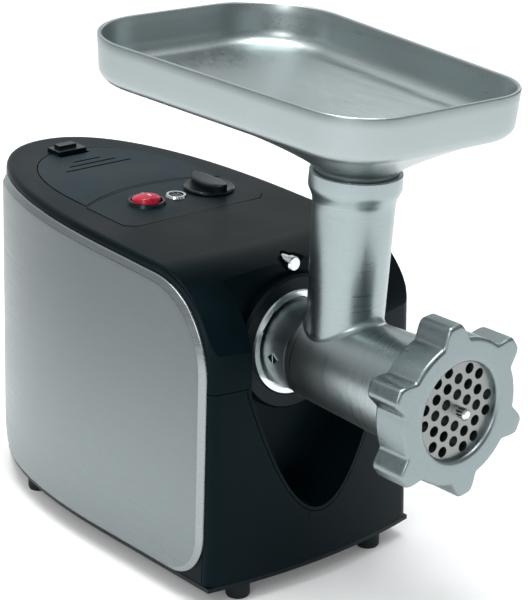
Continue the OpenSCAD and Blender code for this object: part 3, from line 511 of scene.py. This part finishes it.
shell = housingBlock("upperShell", 0.0, housing["baseZ"])
inner = housingBlock("shellInside", housing["wall"], 10.0)
grown = extrude("recessWall", recessOutline(recess["wall"]), -200, place["floorY"] + recess["wall"], frontPut)
whole = copyOf(shell, "lowerFront")
innerKept = copyOf(inner, "insideKept")
boolean(inner, grown)
boolean(shell, inner)
cavity = extrude("recessRoom", recessOutline(0.0), -200, place["floorY"], frontPut)
boolean(shell, cavity)
dropAway(cavity, inner)
frontDepth = place["frontY"] + 14  # how far back the lower front reaches
gap = housing["gap"]
frontGap = box("frontGap", (-90, -120, 0), (90, frontDepth + gap, housing["seamZ"] + gap))
boolean(frontGap, grown)
boolean(shell, frontGap)
dropAway(frontGap, grown)
print("shell opened at the front")
cut(shell,
    extrude("plateHole", plateOutline(-0.35), -12, 20, topPut),
    extrude("lidHole", lidOutline(-0.5), -12, 20, topPut),
    extrude("latchRoom", [(-11, 148), (11, 148), (11, 166.5), (-11, 166.5)], -12, 20, topPut))
for i in range(-4, 5):
    cut(shell, box("ventSlot", (i * 7 - 1.5, 160, 70), (i * 7 + 1.5, 210, 112)))
buttonZ = place["hubZ"] + place["buttonUp"]
rollMidY = place["frontY"] + housing["roll"]
buttonY = rollMidY - math.sqrt(housing["roll"] ** 2 - (buttonZ - housing["height"] + housing["roll"]) ** 2)
cut(shell,
    spun("cordHole", [(0.5, 150), (6.8, 150), (6.8, 220), (0.5, 220)], None,
        lambda u, v, y: (u, y, place["cordZ"] + v), 48, False),
    spun("hubHole", [(0.5, -70), (31.4, -70), (31.4, -40), (0.5, -40)], None, onAxis, 96, False),
    spun("buttonHole", [(0.5, -20), (4.8, -20), (4.8, 22), (0.5, 22)], None,
        lambda u, v, y: (u, buttonY + y, buttonZ + v), 48, False))
outward = Vector((0, buttonY - rollMidY, buttonZ - housing["height"] + housing["roll"])).normalized()
dimple = dict(radius=19.0, out=15.4)  # a ball that scoops a dish round the button
hollow = Vector((0, buttonY, buttonZ)) + outward * dimple["out"]
ball = []
for i in range(49):
    a = math.pi * i / 48
    ball.append((dimple["radius"] * math.sin(a) + 0.001, -dimple["radius"] * math.cos(a)))
cut(shell, spun("dimple", ball, None, lambda u, v, w: (hollow.x + u, hollow.y + v, hollow.z + w), 96, False))
shell.data.materials.clear()
shell.data.materials.append(finish["blackMatt"])
smooth(shell.data, 30)
bevelled(shell, 0.6)
fit(shell, "housing", "black_matt", "upper_shell")
print("shell done", len(shell.data.polygons))

frontBox = box("frontBox", (-90, -120, 0), (90, frontDepth, housing["seamZ"]))
boolean(whole, frontBox, "INTERSECT")
wider = extrude("recessWider", recessOutline(recess["wall"] + gap), -200, 0, frontPut)
boolean(whole, wider)
boolean(whole, innerKept)
dropAway(frontBox, wider, innerKept)
whole.data.materials.clear()
whole.data.materials.append(finish["blackMatt"])
smooth(whole.data, 30)
bevelled(whole, 0.6)
fit(whole, "housing", "black_matt", "front_panel")
print("front panel done")

# steel side panels, with a rolled rim
panel = dict(frontY=-72.0, rearY=158.0, lowZ=14.0, topZ=183.0, low=28.0, corner=48.0, rear=4.0,
    proud=3.4, rimWidth=3.6, rimDrop=1.9, count=260, inward=25)


def panelOutline():
    p = panel
    pts = []

    def arc(cy, cz, r, a0, a1, n=24):
        for i in range(n + 1):
            a = math.radians(a0 + (a1 - a0) * i / n)
            pts.append((cy + r * math.cos(a), cz + r * math.sin(a)))

    rise = housing["rise"]
    rearTop = p["topZ"] + rise * (p["rearY"] - p["frontY"])
    arc(p["frontY"] + p["low"], p["lowZ"] + p["low"], p["low"], 270, 180)
    arc(p["frontY"] + p["corner"], p["topZ"] - p["corner"] + 2, p["corner"], 180, 92)
    arc(p["rearY"] - p["rear"], rearTop - p["rear"], p["rear"], 90, 0, 8)
    arc(p["rearY"] - p["low"], p["lowZ"] + p["low"], p["low"], 0, -90)
    return evenly(pts, p["count"])


def sideAt(y, z):  # half width of the housing at a height
    h = housing
    sx, sy = leanScale(z)
    y = y / sy
    roundY = h["rear"] - h["rearRound"]
    if y <= roundY:
        return h["halfWidth"] * sx
    s = min(1.0, (y - roundY) / h["rearRound"]) ** (h["power"] / 2)
    c = math.sqrt(max(0.0, 1 - s * s))
    return h["halfWidth"] * c ** (2 / h["power"]) * sx


def sidePanel(name, side, node):
    p = panel
    outline = panelOutline()
    n = len(outline)
    normals = []
    for i in range(n):
        a, b = Vector(outline[i - 1]), Vector(outline[(i + 1) % n])
        d = (b - a).normalized()
        normals.append(Vector((d.y, -d.x)))
    mid = Vector((sum(q[0] for q in outline) / n, sum(q[1] for q in outline) / n))
    if (Vector(outline[0]) + normals[0] - mid).length > (Vector(outline[0]) - mid).length:
        normals = [-v for v in normals]
    rows = []
    drop = p["rimDrop"]
    rim = [(0.0, p["proud"] + 0.3), (0.0, 2.6), (0.12, 2.2), (0.5, drop)]
    rim += [(0.5 + (p["rimWidth"] - 0.5) * i / 6, drop * (1 - i / 6)) for i in range(1, 6)]
    rim += [(p["rimWidth"] - 0.2, 0.06), (p["rimWidth"] + 0.3, 0.0)]
    for inset, depth in rim:
        row = []
        for q, v in zip(outline, normals):
            y, z = Vector(q) + v * inset
            row.append((side * (sideAt(y, z) + p["proud"] - depth), y, z))
        rows.append(row)
    edgeLoop = [Vector(q) + v * (p["rimWidth"] + 0.3) for q, v in zip(outline, normals)]
    for k in range(1, p["inward"] + 1):
        t = 1 - k / (p["inward"] + 1)
        row = []
        for q in edgeLoop:
            y, z = mid + (q - mid) * t
            row.append((side * (sideAt(y, z) + p["proud"]), y, z))
        rows.append(row)
    points = [q for row in rows for q in row]
    faces = gridFaces(len(rows), n)
    base = (len(rows) - 1) * n
    faces.append(tuple(range(base, base + n)))
    obj = meshObject(name, points, faces, "panelSteel", 50)
    # the rim band gets the lighter steel, a painted highlight along the roll
    obj.data.materials.append(finish["rimSteelPaintedHighlight"])
    bandFaces = n * (len(rim) - 2)
    for k, face in enumerate(obj.data.polygons):
        if k < bandFaces:
            face.material_index = 1
    fit(obj, "housing", "brushed_steel", node)


for name, node in (("steelPanelLeft", "side_panel_left"), ("steelPanelRight", "side_panel_right")):
    sidePanel(name, 1 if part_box(node)[1][0] > 0 else -1, node)
print("side panels done")

# grinding head: a barrel, and a feed tube that flows into it
head = dict(neck=25.5, neckLen=19.0, barrelBack=26.6, barrelFront=30.2, front=35.2, bore=22.4,
    plateSeat=31.15, boreRear=-52.5, bushBore=13.0, tubeLow=21.2, tubeTop=22.4, tubeHigh=110.2,
    throat=19.0, cup=25.2, cupBore=23.1, cupHigh=10.0, blend=5.0)


def barrelRadius(y):
    neckFront = place["hubY"] - head["neckLen"]
    nutRear = place["nutY"] + 24.0
    t = (neckFront - y) / (neckFront - nutRear)
    return head["barrelBack"] + (head["barrelFront"] - head["barrelBack"]) * t


neckFront = place["hubY"] - head["neckLen"]
nutRear = place["nutY"] + 23.0
neckRear = place["hubY"] + 15
barrelProfile = [(head["neck"] - 0.6, neckRear), (head["neck"], neckRear - 0.6),
    (head["neck"], neckFront + 1.0), (head["neck"] + 0.15, neckFront + 0.5),
    (head["barrelBack"] - 0.25, neckFront - 0.1), (head["barrelBack"], neckFront - 0.6)]
for i in range(1, 20):
    y = neckFront - (neckFront - nutRear - 2) * i / 20
    barrelProfile.append((barrelRadius(y), y))
mouthY = place["nutY"] + 6.4
barrelProfile += [(head["barrelFront"], nutRear - 1), (head["barrelFront"], nutRear - 5),
    (head["front"], nutRear - 5.2), (head["front"], mouthY + 0.4), (head["front"] - 0.5, mouthY),
    (head["plateSeat"], mouthY), (head["plateSeat"], place["plateY"]), (head["bore"], place["plateY"]),
    (head["bore"], head["boreRear"]), (head["bushBore"], head["boreRear"]), (head["bushBore"], neckRear)]
barrel = spun("grinderBarrel", barrelProfile, "barrelMetal", onAxis, 160, True, 30)
throatProfile = [(0.5, 4), (head["throat"], 4), (head["throat"], 60), (0.5, 60)]
cut(barrel, spun("throatCut", throatProfile, None, onTube, 96, False))
smooth(barrel.data, 30)


def tubeRing(fi):
    e = Vector((math.cos(fi), math.sin(fi)))
    top, cupLow = head["tubeHigh"], head["tubeHigh"] - head["cupHigh"]

    def surface(rho):
        x, y = rho * e.x, rho * e.y
        r = barrelRadius(place["tubeY"] + y)
        return math.sqrt(max(0.0, r * r - x * x)) - y * math.tan(leanAngle)

    b = head["blend"]
    wall = head["tubeLow"]
    low, high = surface(wall) - 2, surface(wall) + b * 2.4
    for _ in range(40):  # the height at which a ball of the blend's radius just rests on the barrel
        zc = (low + high) / 2
        nearest = min(math.hypot(b - b * k / 20, zc - surface(wall + b * k / 20)) for k in range(0, 31))
        if nearest < b:
            low = zc
        else:
            high = zc
    zc = (low + high) / 2
    touch = min(range(0, 61), key=lambda k: math.hypot(b - b * k / 40, zc - surface(wall + b * k / 40)))
    endAngle = math.atan2(zc - surface(wall + b * touch / 40), b - b * touch / 40)
    outer = [(head["cup"] - 0.4, top), (head["cup"], top - 0.4), (head["cup"] + 0.1, cupLow + 2.5),
        (head["cup"] - 0.2, cupLow + 0.6), (head["cup"] - 1.2, cupLow - 1.6),
        (head["tubeTop"] + 0.5, cupLow - 4.2), (head["tubeTop"] + 0.05, cupLow - 6.5)]
    span = cupLow - 6.5 - zc
    for i in range(1, 22):
        t = i / 21
        r = head["tubeTop"] + (wall - head["tubeTop"]) * t
        outer.append((r, cupLow - 6.5 - span * t))
    for i in range(1, 10):
        a = endAngle * i / 9
        outer.append((wall + b - b * math.cos(a), zc - b * math.sin(a)))
    last = outer[-1]
    outer.append((last[0] + 0.6, last[1] - 0.9))
    innerSide = [(head["cupBore"], top), (head["cupBore"], cupLow + 0.2), (head["throat"], cupLow - 0.1)]
    innerSide += [(head["throat"], 60), (head["throat"], 12)]
    return list(reversed(innerSide)) + outer


count = 144
columns = [tubeRing(2 * math.pi * i / count) for i in range(count)]
rowsTube = len(columns[0])
tubePoints = []
for r in range(rowsTube):
    for i in range(count):
        a = 2 * math.pi * i / count
        rad, z = columns[i][r]
        tubePoints.append(onTube(rad * math.cos(a), rad * math.sin(a), z))
feedTube = meshObject("feedTube", tubePoints, gridFaces(rowsTube, count), "tubeMetal", 35)
fit(barrel, "head", "cast_aluminium", "head_casting")
fit(feedTube, "head", "cast_aluminium", "head_casting")
print("head done")

# lock mark raised on the neck: two arrowheads back to back
markFace = dict(angle=182.0, y=-70.0, high=0.45)
markShapes = [[(-4.0, 0), (-0.4, -3.0), (-0.4, 3.0)], [(4.0, 0), (0.4, 3.0), (0.4, -3.0)]]
for k, shape in enumerate(markShapes):
    pts, n = [], len(shape)
    for lift in (-0.3, markFace["high"]):
        for a, b in shape:
            th = math.radians(markFace["angle"]) + b / head["neck"]
            r = head["neck"] + lift
            pts.append((r * math.cos(th), markFace["y"] + a, place["hubZ"] + r * math.sin(th)))
    ends = [tuple(range(n)), tuple(range(2 * n - 1, n - 1, -1))]
    mark = meshObject("neckMark%d" % k, pts, gridFaces(2, n) + ends, "brightSteel")
    fit(mark, "head", "cast_aluminium")

# ring nut with rounded lobes; turn and the lobe angles are in degrees
nut = dict(root=40.5, lobe=49.4, lobes=6, turn=37.0, length=23.0, opening=27.0, bore=35.6, rim=4.2,
    lip=2.4, flat=3.4, slope=11.0, edge=2.4, count=288)


def nutRadius(angle):
    step = 360 / nut["lobes"]
    d = abs((math.degrees(angle) - nut["turn"] + step / 2) % step - step / 2)
    t = min(1.0, max(0.0, (nut["flat"] + nut["slope"] - d) / nut["slope"]))
    t = t * t * (3 - 2 * t)
    flatTop = nut["lobe"] * min(1.0, math.cos(math.radians(min(d, 9))) ** -0.35)
    return nut["root"] + (min(flatTop, nut["lobe"]) - nut["root"]) * t


def nutPoint(angle, radius, y):
    return onAxis(radius * math.cos(angle), radius * math.sin(angle), y)


front, e = place["nutY"], nut["edge"]
nutRows = []


def nutRow(shape):  # shape gives the radius and the place along the axis at each angle
    row = []
    for i in range(nut["count"]):
        angle = 2 * math.pi * i / nut["count"]
        row.append(nutPoint(angle, *shape(angle)))
    nutRows.append(row)


nutRow(lambda a: (nut["bore"], front + nut["length"]))
nutRow(lambda a: (nut["bore"], front + nut["rim"]))
nutRow(lambda a: (nut["opening"], front + nut["rim"]))
nutRow(lambda a: (nut["opening"], front + nut["lip"] + 0.2))
for i in range(5):
    k = math.radians(90 * i / 4)
    spread, depth = nut["lip"] * (1 - math.cos(k)), nut["lip"] * (1 - math.sin(k))
    nutRow(lambda a, r=nut["opening"] + spread, y=front + depth: (r, y))
nutRow(lambda a: (33.0, front))
nutRow(lambda a: (37.0 + (nutRadius(a) - e - 37.0) * 0.35, front))
for i in range(7):
    k = math.radians(90 * i / 6)
    nutRow(lambda a, k=k: (nutRadius(a) - e + e * math.sin(k), front + e * (1 - math.cos(k))))
nutRow(lambda a: (nutRadius(a), front + nut["length"] * 0.5))
for i in range(6):
    k = math.radians(90 * i / 5)
    nutRow(lambda a, k=k: (nutRadius(a) - e + e * math.cos(k), front + nut["length"] - e + e * math.sin(k)))
nutFaces = gridFaces(len(nutRows), nut["count"], True, True)
ringNut = meshObject("ringNut", [p for row in nutRows for p in row], nutFaces, "nutMetal", 40)
fit(ringNut, "nut", "nut_aluminium", "ring_nut")
print("ring nut done")

# food tray, pressed from one sheet, narrower at the front
tray = dict(length=228.8, width=147.4, flare=10.6, top=162.4, wall=25.0, corner=35.0, rearCorner=50.0,
    side=60.0, back=46.0, spigot=22.9, spigotZ=100.5, neckZ=113.2, throat=20.0, sheet=2.2, count=240)


def trayOutline():
    t = tray
    hw0, hw1 = t["width"] / 2 - t["flare"] / 2, t["width"] / 2 + t["flare"] / 2
    hl, r = t["length"] / 2, t["corner"]
    circles = []
    for sx in (-1, 1):
        circles.append((sx * (hw0 - r), t["back"] - hl + r, r))
        rr = t["rearCorner"]
        circles.append((sx * (hw1 - rr), t["back"] + hl - rr, rr))
        circles.append((sx * (t["width"] / 2 - t["side"]), t["back"], t["side"]))
    pts = []
    for i in range(720):  # support points of the circles' hull
        a = math.pi * i / 360
        u = Vector((math.cos(a), math.sin(a)))
        c = max(circles, key=lambda q: q[0] * u.x + q[1] * u.y + q[2])
        pts.append((c[0] + c[2] * u.x, c[1] + c[2] * u.y))
    return evenly(pts, t["count"])


def trayRows():
    t = tray
    outline = [Vector(q) for q in trayOutline()]
    n = len(outline)
    normals = []
    for i in range(n):
        d = (outline[(i + 2) % n] - outline[i - 2]).normalized()
        normals.append(Vector((-d.y, d.x)))
    low = t["top"] - t["wall"]
    rows = []

    def ring(inset, z):
        rows.append([onTube(*(q + v * inset), z) for q, v in zip(outline, normals)])

    def coneRing(frac, z, startInset, hole):
        row = []
        for q, v in zip(outline, normals):
            edge = q + v * startInset
            a = math.atan2(edge.y, edge.x)
            near = Vector((hole * math.cos(a), hole * math.sin(a)))
            row.append(onTube(*(near.lerp(edge, frac)), z))
        rows.append(row)

    # underside, from the spigot out to the wall
    for z in (t["spigotZ"], t["neckZ"] - 1.2):
        coneRing(0.0, z, 12, t["spigot"])
    coneRing(0.0, t["neckZ"] + 0.3, 12, t["spigot"] + 1.2)
    coneRing(0.0, t["neckZ"] + 1.6, 12, t["spigot"] + 3)
    for i in range(1, 14):
        f = i / 14
        coneRing(f, t["neckZ"] + 1.6 + (low - 2.2 - t["neckZ"] - 1.6) * f ** 0.92, 12, t["spigot"] + 3)
    ring(12, low - 2.0)
    for i in range(1, 9):
        a = math.radians(90 * i / 8)
        ring(1.2 + 10.8 * (1 - math.sin(a)), low - 2.0 + 8 * (1 - math.cos(a)))
    for f in (0.35, 0.7):
        ring(1.2 * (1 - f), low + 6 + (t["top"] - low - 6.9) * f)
    ring(0, t["top"] - 0.9)
    ring(0.25, t["top"] - 0.25)
    ring(0.9, t["top"])
    ring(1.5, t["top"])
    ring(t["sheet"] - 0.1, t["top"] - 0.3)
    ring(t["sheet"] + 0.2, t["top"] - 1.0)
    # inside, down the wall and across the floor
    for f in (0.4, 0.8):
        ring(t["sheet"] + 0.2 + 1.6 * f, t["top"] - 1 - 13 * f)
    for i in range(0, 9):
        a = math.radians(90 * i / 8)
        ring(t["sheet"] + 1.9 + 9.5 * (1 - math.cos(a)), low + 0.9 + 9.5 * (1 - math.sin(a)))
    for i in range(13, 0, -1):
        f = i / 14
        coneRing(f, t["neckZ"] + 4.4 + (low + 0.7 - t["neckZ"] - 4.4) * f ** 0.92, 14, t["throat"] + 2)
    coneRing(0.0, t["neckZ"] + 4.0, 14, t["throat"] + 1.0)
    coneRing(0.0, t["neckZ"] + 2.6, 14, t["throat"])
    coneRing(0.0, t["spigotZ"], 14, t["throat"])
    return rows, n


rows, n = trayRows()
trayFaces = gridFaces(len(rows), n, True, True)
foodTray = meshObject("foodTray", [p for row in rows for p in row], trayFaces, "trayMetal", 50)
fit(foodTray, "tray", "cast_aluminium", "food_tray")
print("tray done")

# red rocker, domed and tipped about an axis below the plate
rocker = dict(x=-17.0, lean=-8.0, radius=8.7, axis=2.0, crown=18.5, crownUp=5.5, side=0.026, edge=0.9,
    low=-1.6, count=72)
tip = math.radians(rocker["lean"])


def rockerPut(x, y, d):
    d += rocker["axis"]
    back = place["rowY"] + y * math.cos(tip) - d * math.sin(tip)
    return topPut(rocker["x"] + x, back, y * math.sin(tip) + d * math.cos(tip) - rocker["axis"])


def rockerTop(x, y, r):
    arch = math.sqrt(rocker["crown"] ** 2 - y * y) - rocker["crown"] + rocker["crownUp"]
    return arch - rocker["side"] * x * x - rocker["edge"] * (r / rocker["radius"]) ** 12


def rockerRing(r, level=None):
    row = []
    for i in range(rocker["count"]):
        a = math.tau * i / rocker["count"]
        x, y = r * math.cos(a), r * math.sin(a)
        row.append(rockerPut(x, y, rockerTop(x, y, r) if level is None else level))
    return row


rockerRings = [rockerRing(r) for r in (0.4, 2.0, 3.6, 5.0, 6.2, 7.1, 7.7, 8.1, 8.35, 8.5)]
rockerRings.append(rockerRing(8.5, rocker["low"]))
rockerFaces = gridFaces(len(rockerRings), rocker["count"]) + [tuple(range(rocker["count"]))]
cap = meshObject("rockerCap", [q for ring in rockerRings for q in ring], rockerFaces, "redGloss", 50)
fit(cap, "rocker", "red_plastic", "power_rocker")
blockFaces = gridFaces(2, 4) + [(0, 1, 2, 3), (7, 6, 5, 4)]
rockerStroke = dict(half=0.45, reach=1.5, sunk=-0.3, proud=0.12)
for k, yy in enumerate((-3.6, 3.4)):
    w, reach = rockerStroke["half"], rockerStroke["reach"]
    pts = []
    for lift in (rockerStroke["sunk"], rockerStroke["proud"]):
        for x, b in ((-w, -reach), (w, -reach), (w, reach), (-w, reach)):
            y = b + yy
            pts.append(rockerPut(x, y, rockerTop(x, y, abs(y)) + lift))
    mark = meshObject("rockerMark%d" % k, pts, blockFaces, "whiteMark")
    fit(mark, "rocker", "red_plastic")

# signal window: five pale bars across a dark round opening
signal = dict(x=5.0, radius=4.4, bars=5, step=1.7, half=0.5, low=-1.6, high=0.35)
barPoints, barFaces = [], []
for k in range(signal["bars"]):
    x = signal["step"] * (k - (signal["bars"] - 1) / 2)
    w, reach = signal["half"], math.sqrt(signal["radius"] ** 2 - x * x)
    for d in (signal["low"], signal["high"]):
        for a, b in ((-w, -reach), (w, -reach), (w, reach), (-w, reach)):
            barPoints.append(topPut(signal["x"] + x + a, place["rowY"] + b, d))
    barFaces += [tuple(8 * k + q for q in face) for face in blockFaces]
# the bright steel bars carry the pale colour, a painted reflection
fit(meshObject("signalBarSet", barPoints, barFaces, "paleBarPaintedReflection", 30), "housing", "bright_steel")
print("rocker and signal window done")

# selector knob: a low skirt under a leaf-shaped grip
knob = dict(x=30.0, skirt=15.5, grip=7.4, gripHalf=15.2, gripLow=1.6, gripHigh=5.9, endRise=0.9)


def knobPut(x, y, d):
    return topPut(knob["x"] + x, place["rowY"] + y, d)


edge = knob["skirt"]
skirtProfile = [(0.5, 0.4), (edge - 0.2, 0.4), (edge, 0.9), (edge - 0.2, 1.6), (edge - 0.8, 2.1),
    (edge - 1.6, 2.2), (edge - 2.3, 1.9), (9.0, 1.9), (0.5, 1.9)]
skirt = spun("knobSkirt", skirtProfile, "blackGloss", knobPut, 96, False)
gripRows = []
for i in range(41):
    t = i / 20 - 1
    y = knob["gripHalf"] * t
    half = knob["grip"] * max(0.10, (1 - abs(t) ** 2.4)) ** 0.7
    rise = knob["gripHigh"] + knob["endRise"] * t * t - knob["gripLow"]
    row = []
    for k in range(17):
        a = math.pi * k / 16
        c, s = math.cos(a), math.sin(a)
        row.append(knobPut(half * math.copysign(abs(c) ** 0.45, c), y, knob["gripLow"] + rise * s ** 0.32))
    row.append(knobPut(-half, y, knob["gripLow"] - 0.1))
    row.append(knobPut(half, y, knob["gripLow"] - 0.1))
    gripRows.append(row)
m = len(gripRows[0])
last = len(gripRows) * m - 1
gripFaces = gridFaces(len(gripRows), m) + [tuple(range(m)), tuple(range(last, last - m, -1))]
grip = meshObject("knobGrip", [p for r in gripRows for p in r], gripFaces, "blackGloss", 40)
fit(skirt, "selector", "black_gloss", "selector_knob")
fit(grip, "selector", "black_gloss", "selector_knob")
print("controls done")

# floor, light and camera
reach = 6000
floorCorners = [(-reach, -reach, 0), (reach, -reach, 0), (reach, reach, 0), (-reach, reach, 0)]
floor = meshObject("studioFloor", floorCorners, [(0, 1, 2, 3)])
paper, paperTree, paperShader = newMaterial("studioPaper", (0.92, 0.92, 0.92), 0.9)
cloud = noise(paperTree, (1, 1, 1), 3, 2)
paperTone = tint(paperTree, cloud, (0.90, 0.90, 0.90), (0.94, 0.94, 0.94))
paperTree.links.new(paperTone.outputs[0], paperShader.inputs["Base Color"])
paperShader.inputs["Emission Color"].default_value = (1, 1, 1, 1)
paperShader.inputs["Emission Strength"].default_value = 0.10
floor.data.materials.append(paper)

world = bpy.data.worlds.new("studioWorld")
bpy.context.scene.world = world
world.use_nodes = True
skyTree = world.node_tree
background = skyTree.nodes["Background"]
coord = skyTree.nodes.new("ShaderNodeTexCoord")
studio = dict(glow=(-0.80, -0.30, 0.52), strength=0.55,
    ramp=((0.0, 0.16), (0.35, 1.0), (0.55, 0.28), (0.72, 0.52), (0.86, 0.85)),
    sheets=(((0.15, 0.80, 0.58), 0.45, 0.75), ((0.0, 0.1, 1.0), 0.55, 0.9)))
glow = skyTree.nodes.new("ShaderNodeVectorMath")  # a soft source to the left, in front and above
glow.operation = "DOT_PRODUCT"
glow.inputs[1].default_value = Vector(studio["glow"]).normalized()
spread = skyTree.nodes.new("ShaderNodeMapRange")
spread.inputs["From Min"].default_value = -1.0
sky = skyTree.nodes.new("ShaderNodeValToRGB")
stops = sky.color_ramp.elements
for pos, value in studio["ramp"]:  # the last stop keeps its plain white
    stop = stops[0] if pos == 0 else stops.new(pos)
    stop.color = (value * 0.93, value, value * 1.02, 1)
skyTree.links.new(coord.outputs["Generated"], glow.inputs[0])
skyTree.links.new(glow.outputs["Value"], spread.inputs["Value"])
skyTree.links.new(spread.outputs[0], sky.inputs["Fac"])
total = sky
for axis, low, gain in studio["sheets"]:  # a backdrop and an overhead sheet
    aim = skyTree.nodes.new("ShaderNodeVectorMath")
    aim.operation = "DOT_PRODUCT"
    aim.inputs[1].default_value = Vector(axis).normalized()
    part = skyTree.nodes.new("ShaderNodeMapRange")
    part.interpolation_type = "SMOOTHSTEP"
    for label, value in zip(("From Min", "From Max", "To Min", "To Max"), (low, 1.0, 0.0, gain)):
        part.inputs[label].default_value = value
    both = skyTree.nodes.new("ShaderNodeVectorMath")
    both.operation = "ADD"
    skyTree.links.new(coord.outputs["Generated"], aim.inputs[0])
    skyTree.links.new(aim.outputs["Value"], part.inputs["Value"])
    skyTree.links.new(total.outputs[0], both.inputs[0])
    skyTree.links.new(part.outputs[0], both.inputs[1])
    total = both
skyTree.links.new(total.outputs[0], background.inputs["Color"])
background.inputs["Strength"].default_value = studio["strength"]


def softLight(name, spot, aim, size, power):
    data = bpy.data.lights.new(name, "AREA")
    data.shape = "RECTANGLE"
    data.size, data.size_y = size
    data.energy = power
    obj = bpy.data.objects.new(name, data)
    bpy.context.scene.collection.objects.link(obj)
    look = Vector(aim) - Vector(spot)
    obj.matrix_world = Matrix.Translation(spot) @ look.to_track_quat("-Z", "Y").to_matrix().to_4x4()
    return obj


softLight("keyLeft", (-1.9, -1.1, 1.3), (0, 0, 0.12), (0.6, 1.2), 13)
softLight("topSheet", (-0.1, -0.1, 2.3), (0, 0.0, 0.1), (1.4, 1.4), 48)
softLight("backRight", (1.5, 0.7, 0.8), (0, -0.1, 0.2), (0.25, 1.2), 2)

view = dict(spot=(-0.72299, -0.87852, 0.55576), yaw=-40.504, pitch=19.825, roll=0.756, lens=124.88, film=36)
cameraData = bpy.data.cameras.new("viewCamera")
cameraData.lens = view["lens"]
cameraData.sensor_width = view["film"]
camera = bpy.data.objects.new("viewCamera", cameraData)
bpy.context.scene.collection.objects.link(camera)
yaw, pitch, roll = (math.radians(view[k]) for k in ("yaw", "pitch", "roll"))
ahead = Vector((-math.sin(yaw) * math.cos(pitch), math.cos(yaw) * math.cos(pitch), -math.sin(pitch)))
right = Vector((math.cos(yaw), math.sin(yaw), 0))
up = right.cross(ahead)
rolledRight = right * math.cos(roll) + up * math.sin(roll)
rolledUp = up * math.cos(roll) - right * math.sin(roll)
turnMatrix = Matrix((rolledRight, rolledUp, -ahead)).transposed().to_4x4()
camera.matrix_world = Matrix.Translation(view["spot"]) @ turnMatrix
bpy.context.scene.camera = camera
bpy.context.scene.view_settings.view_transform = "Standard"
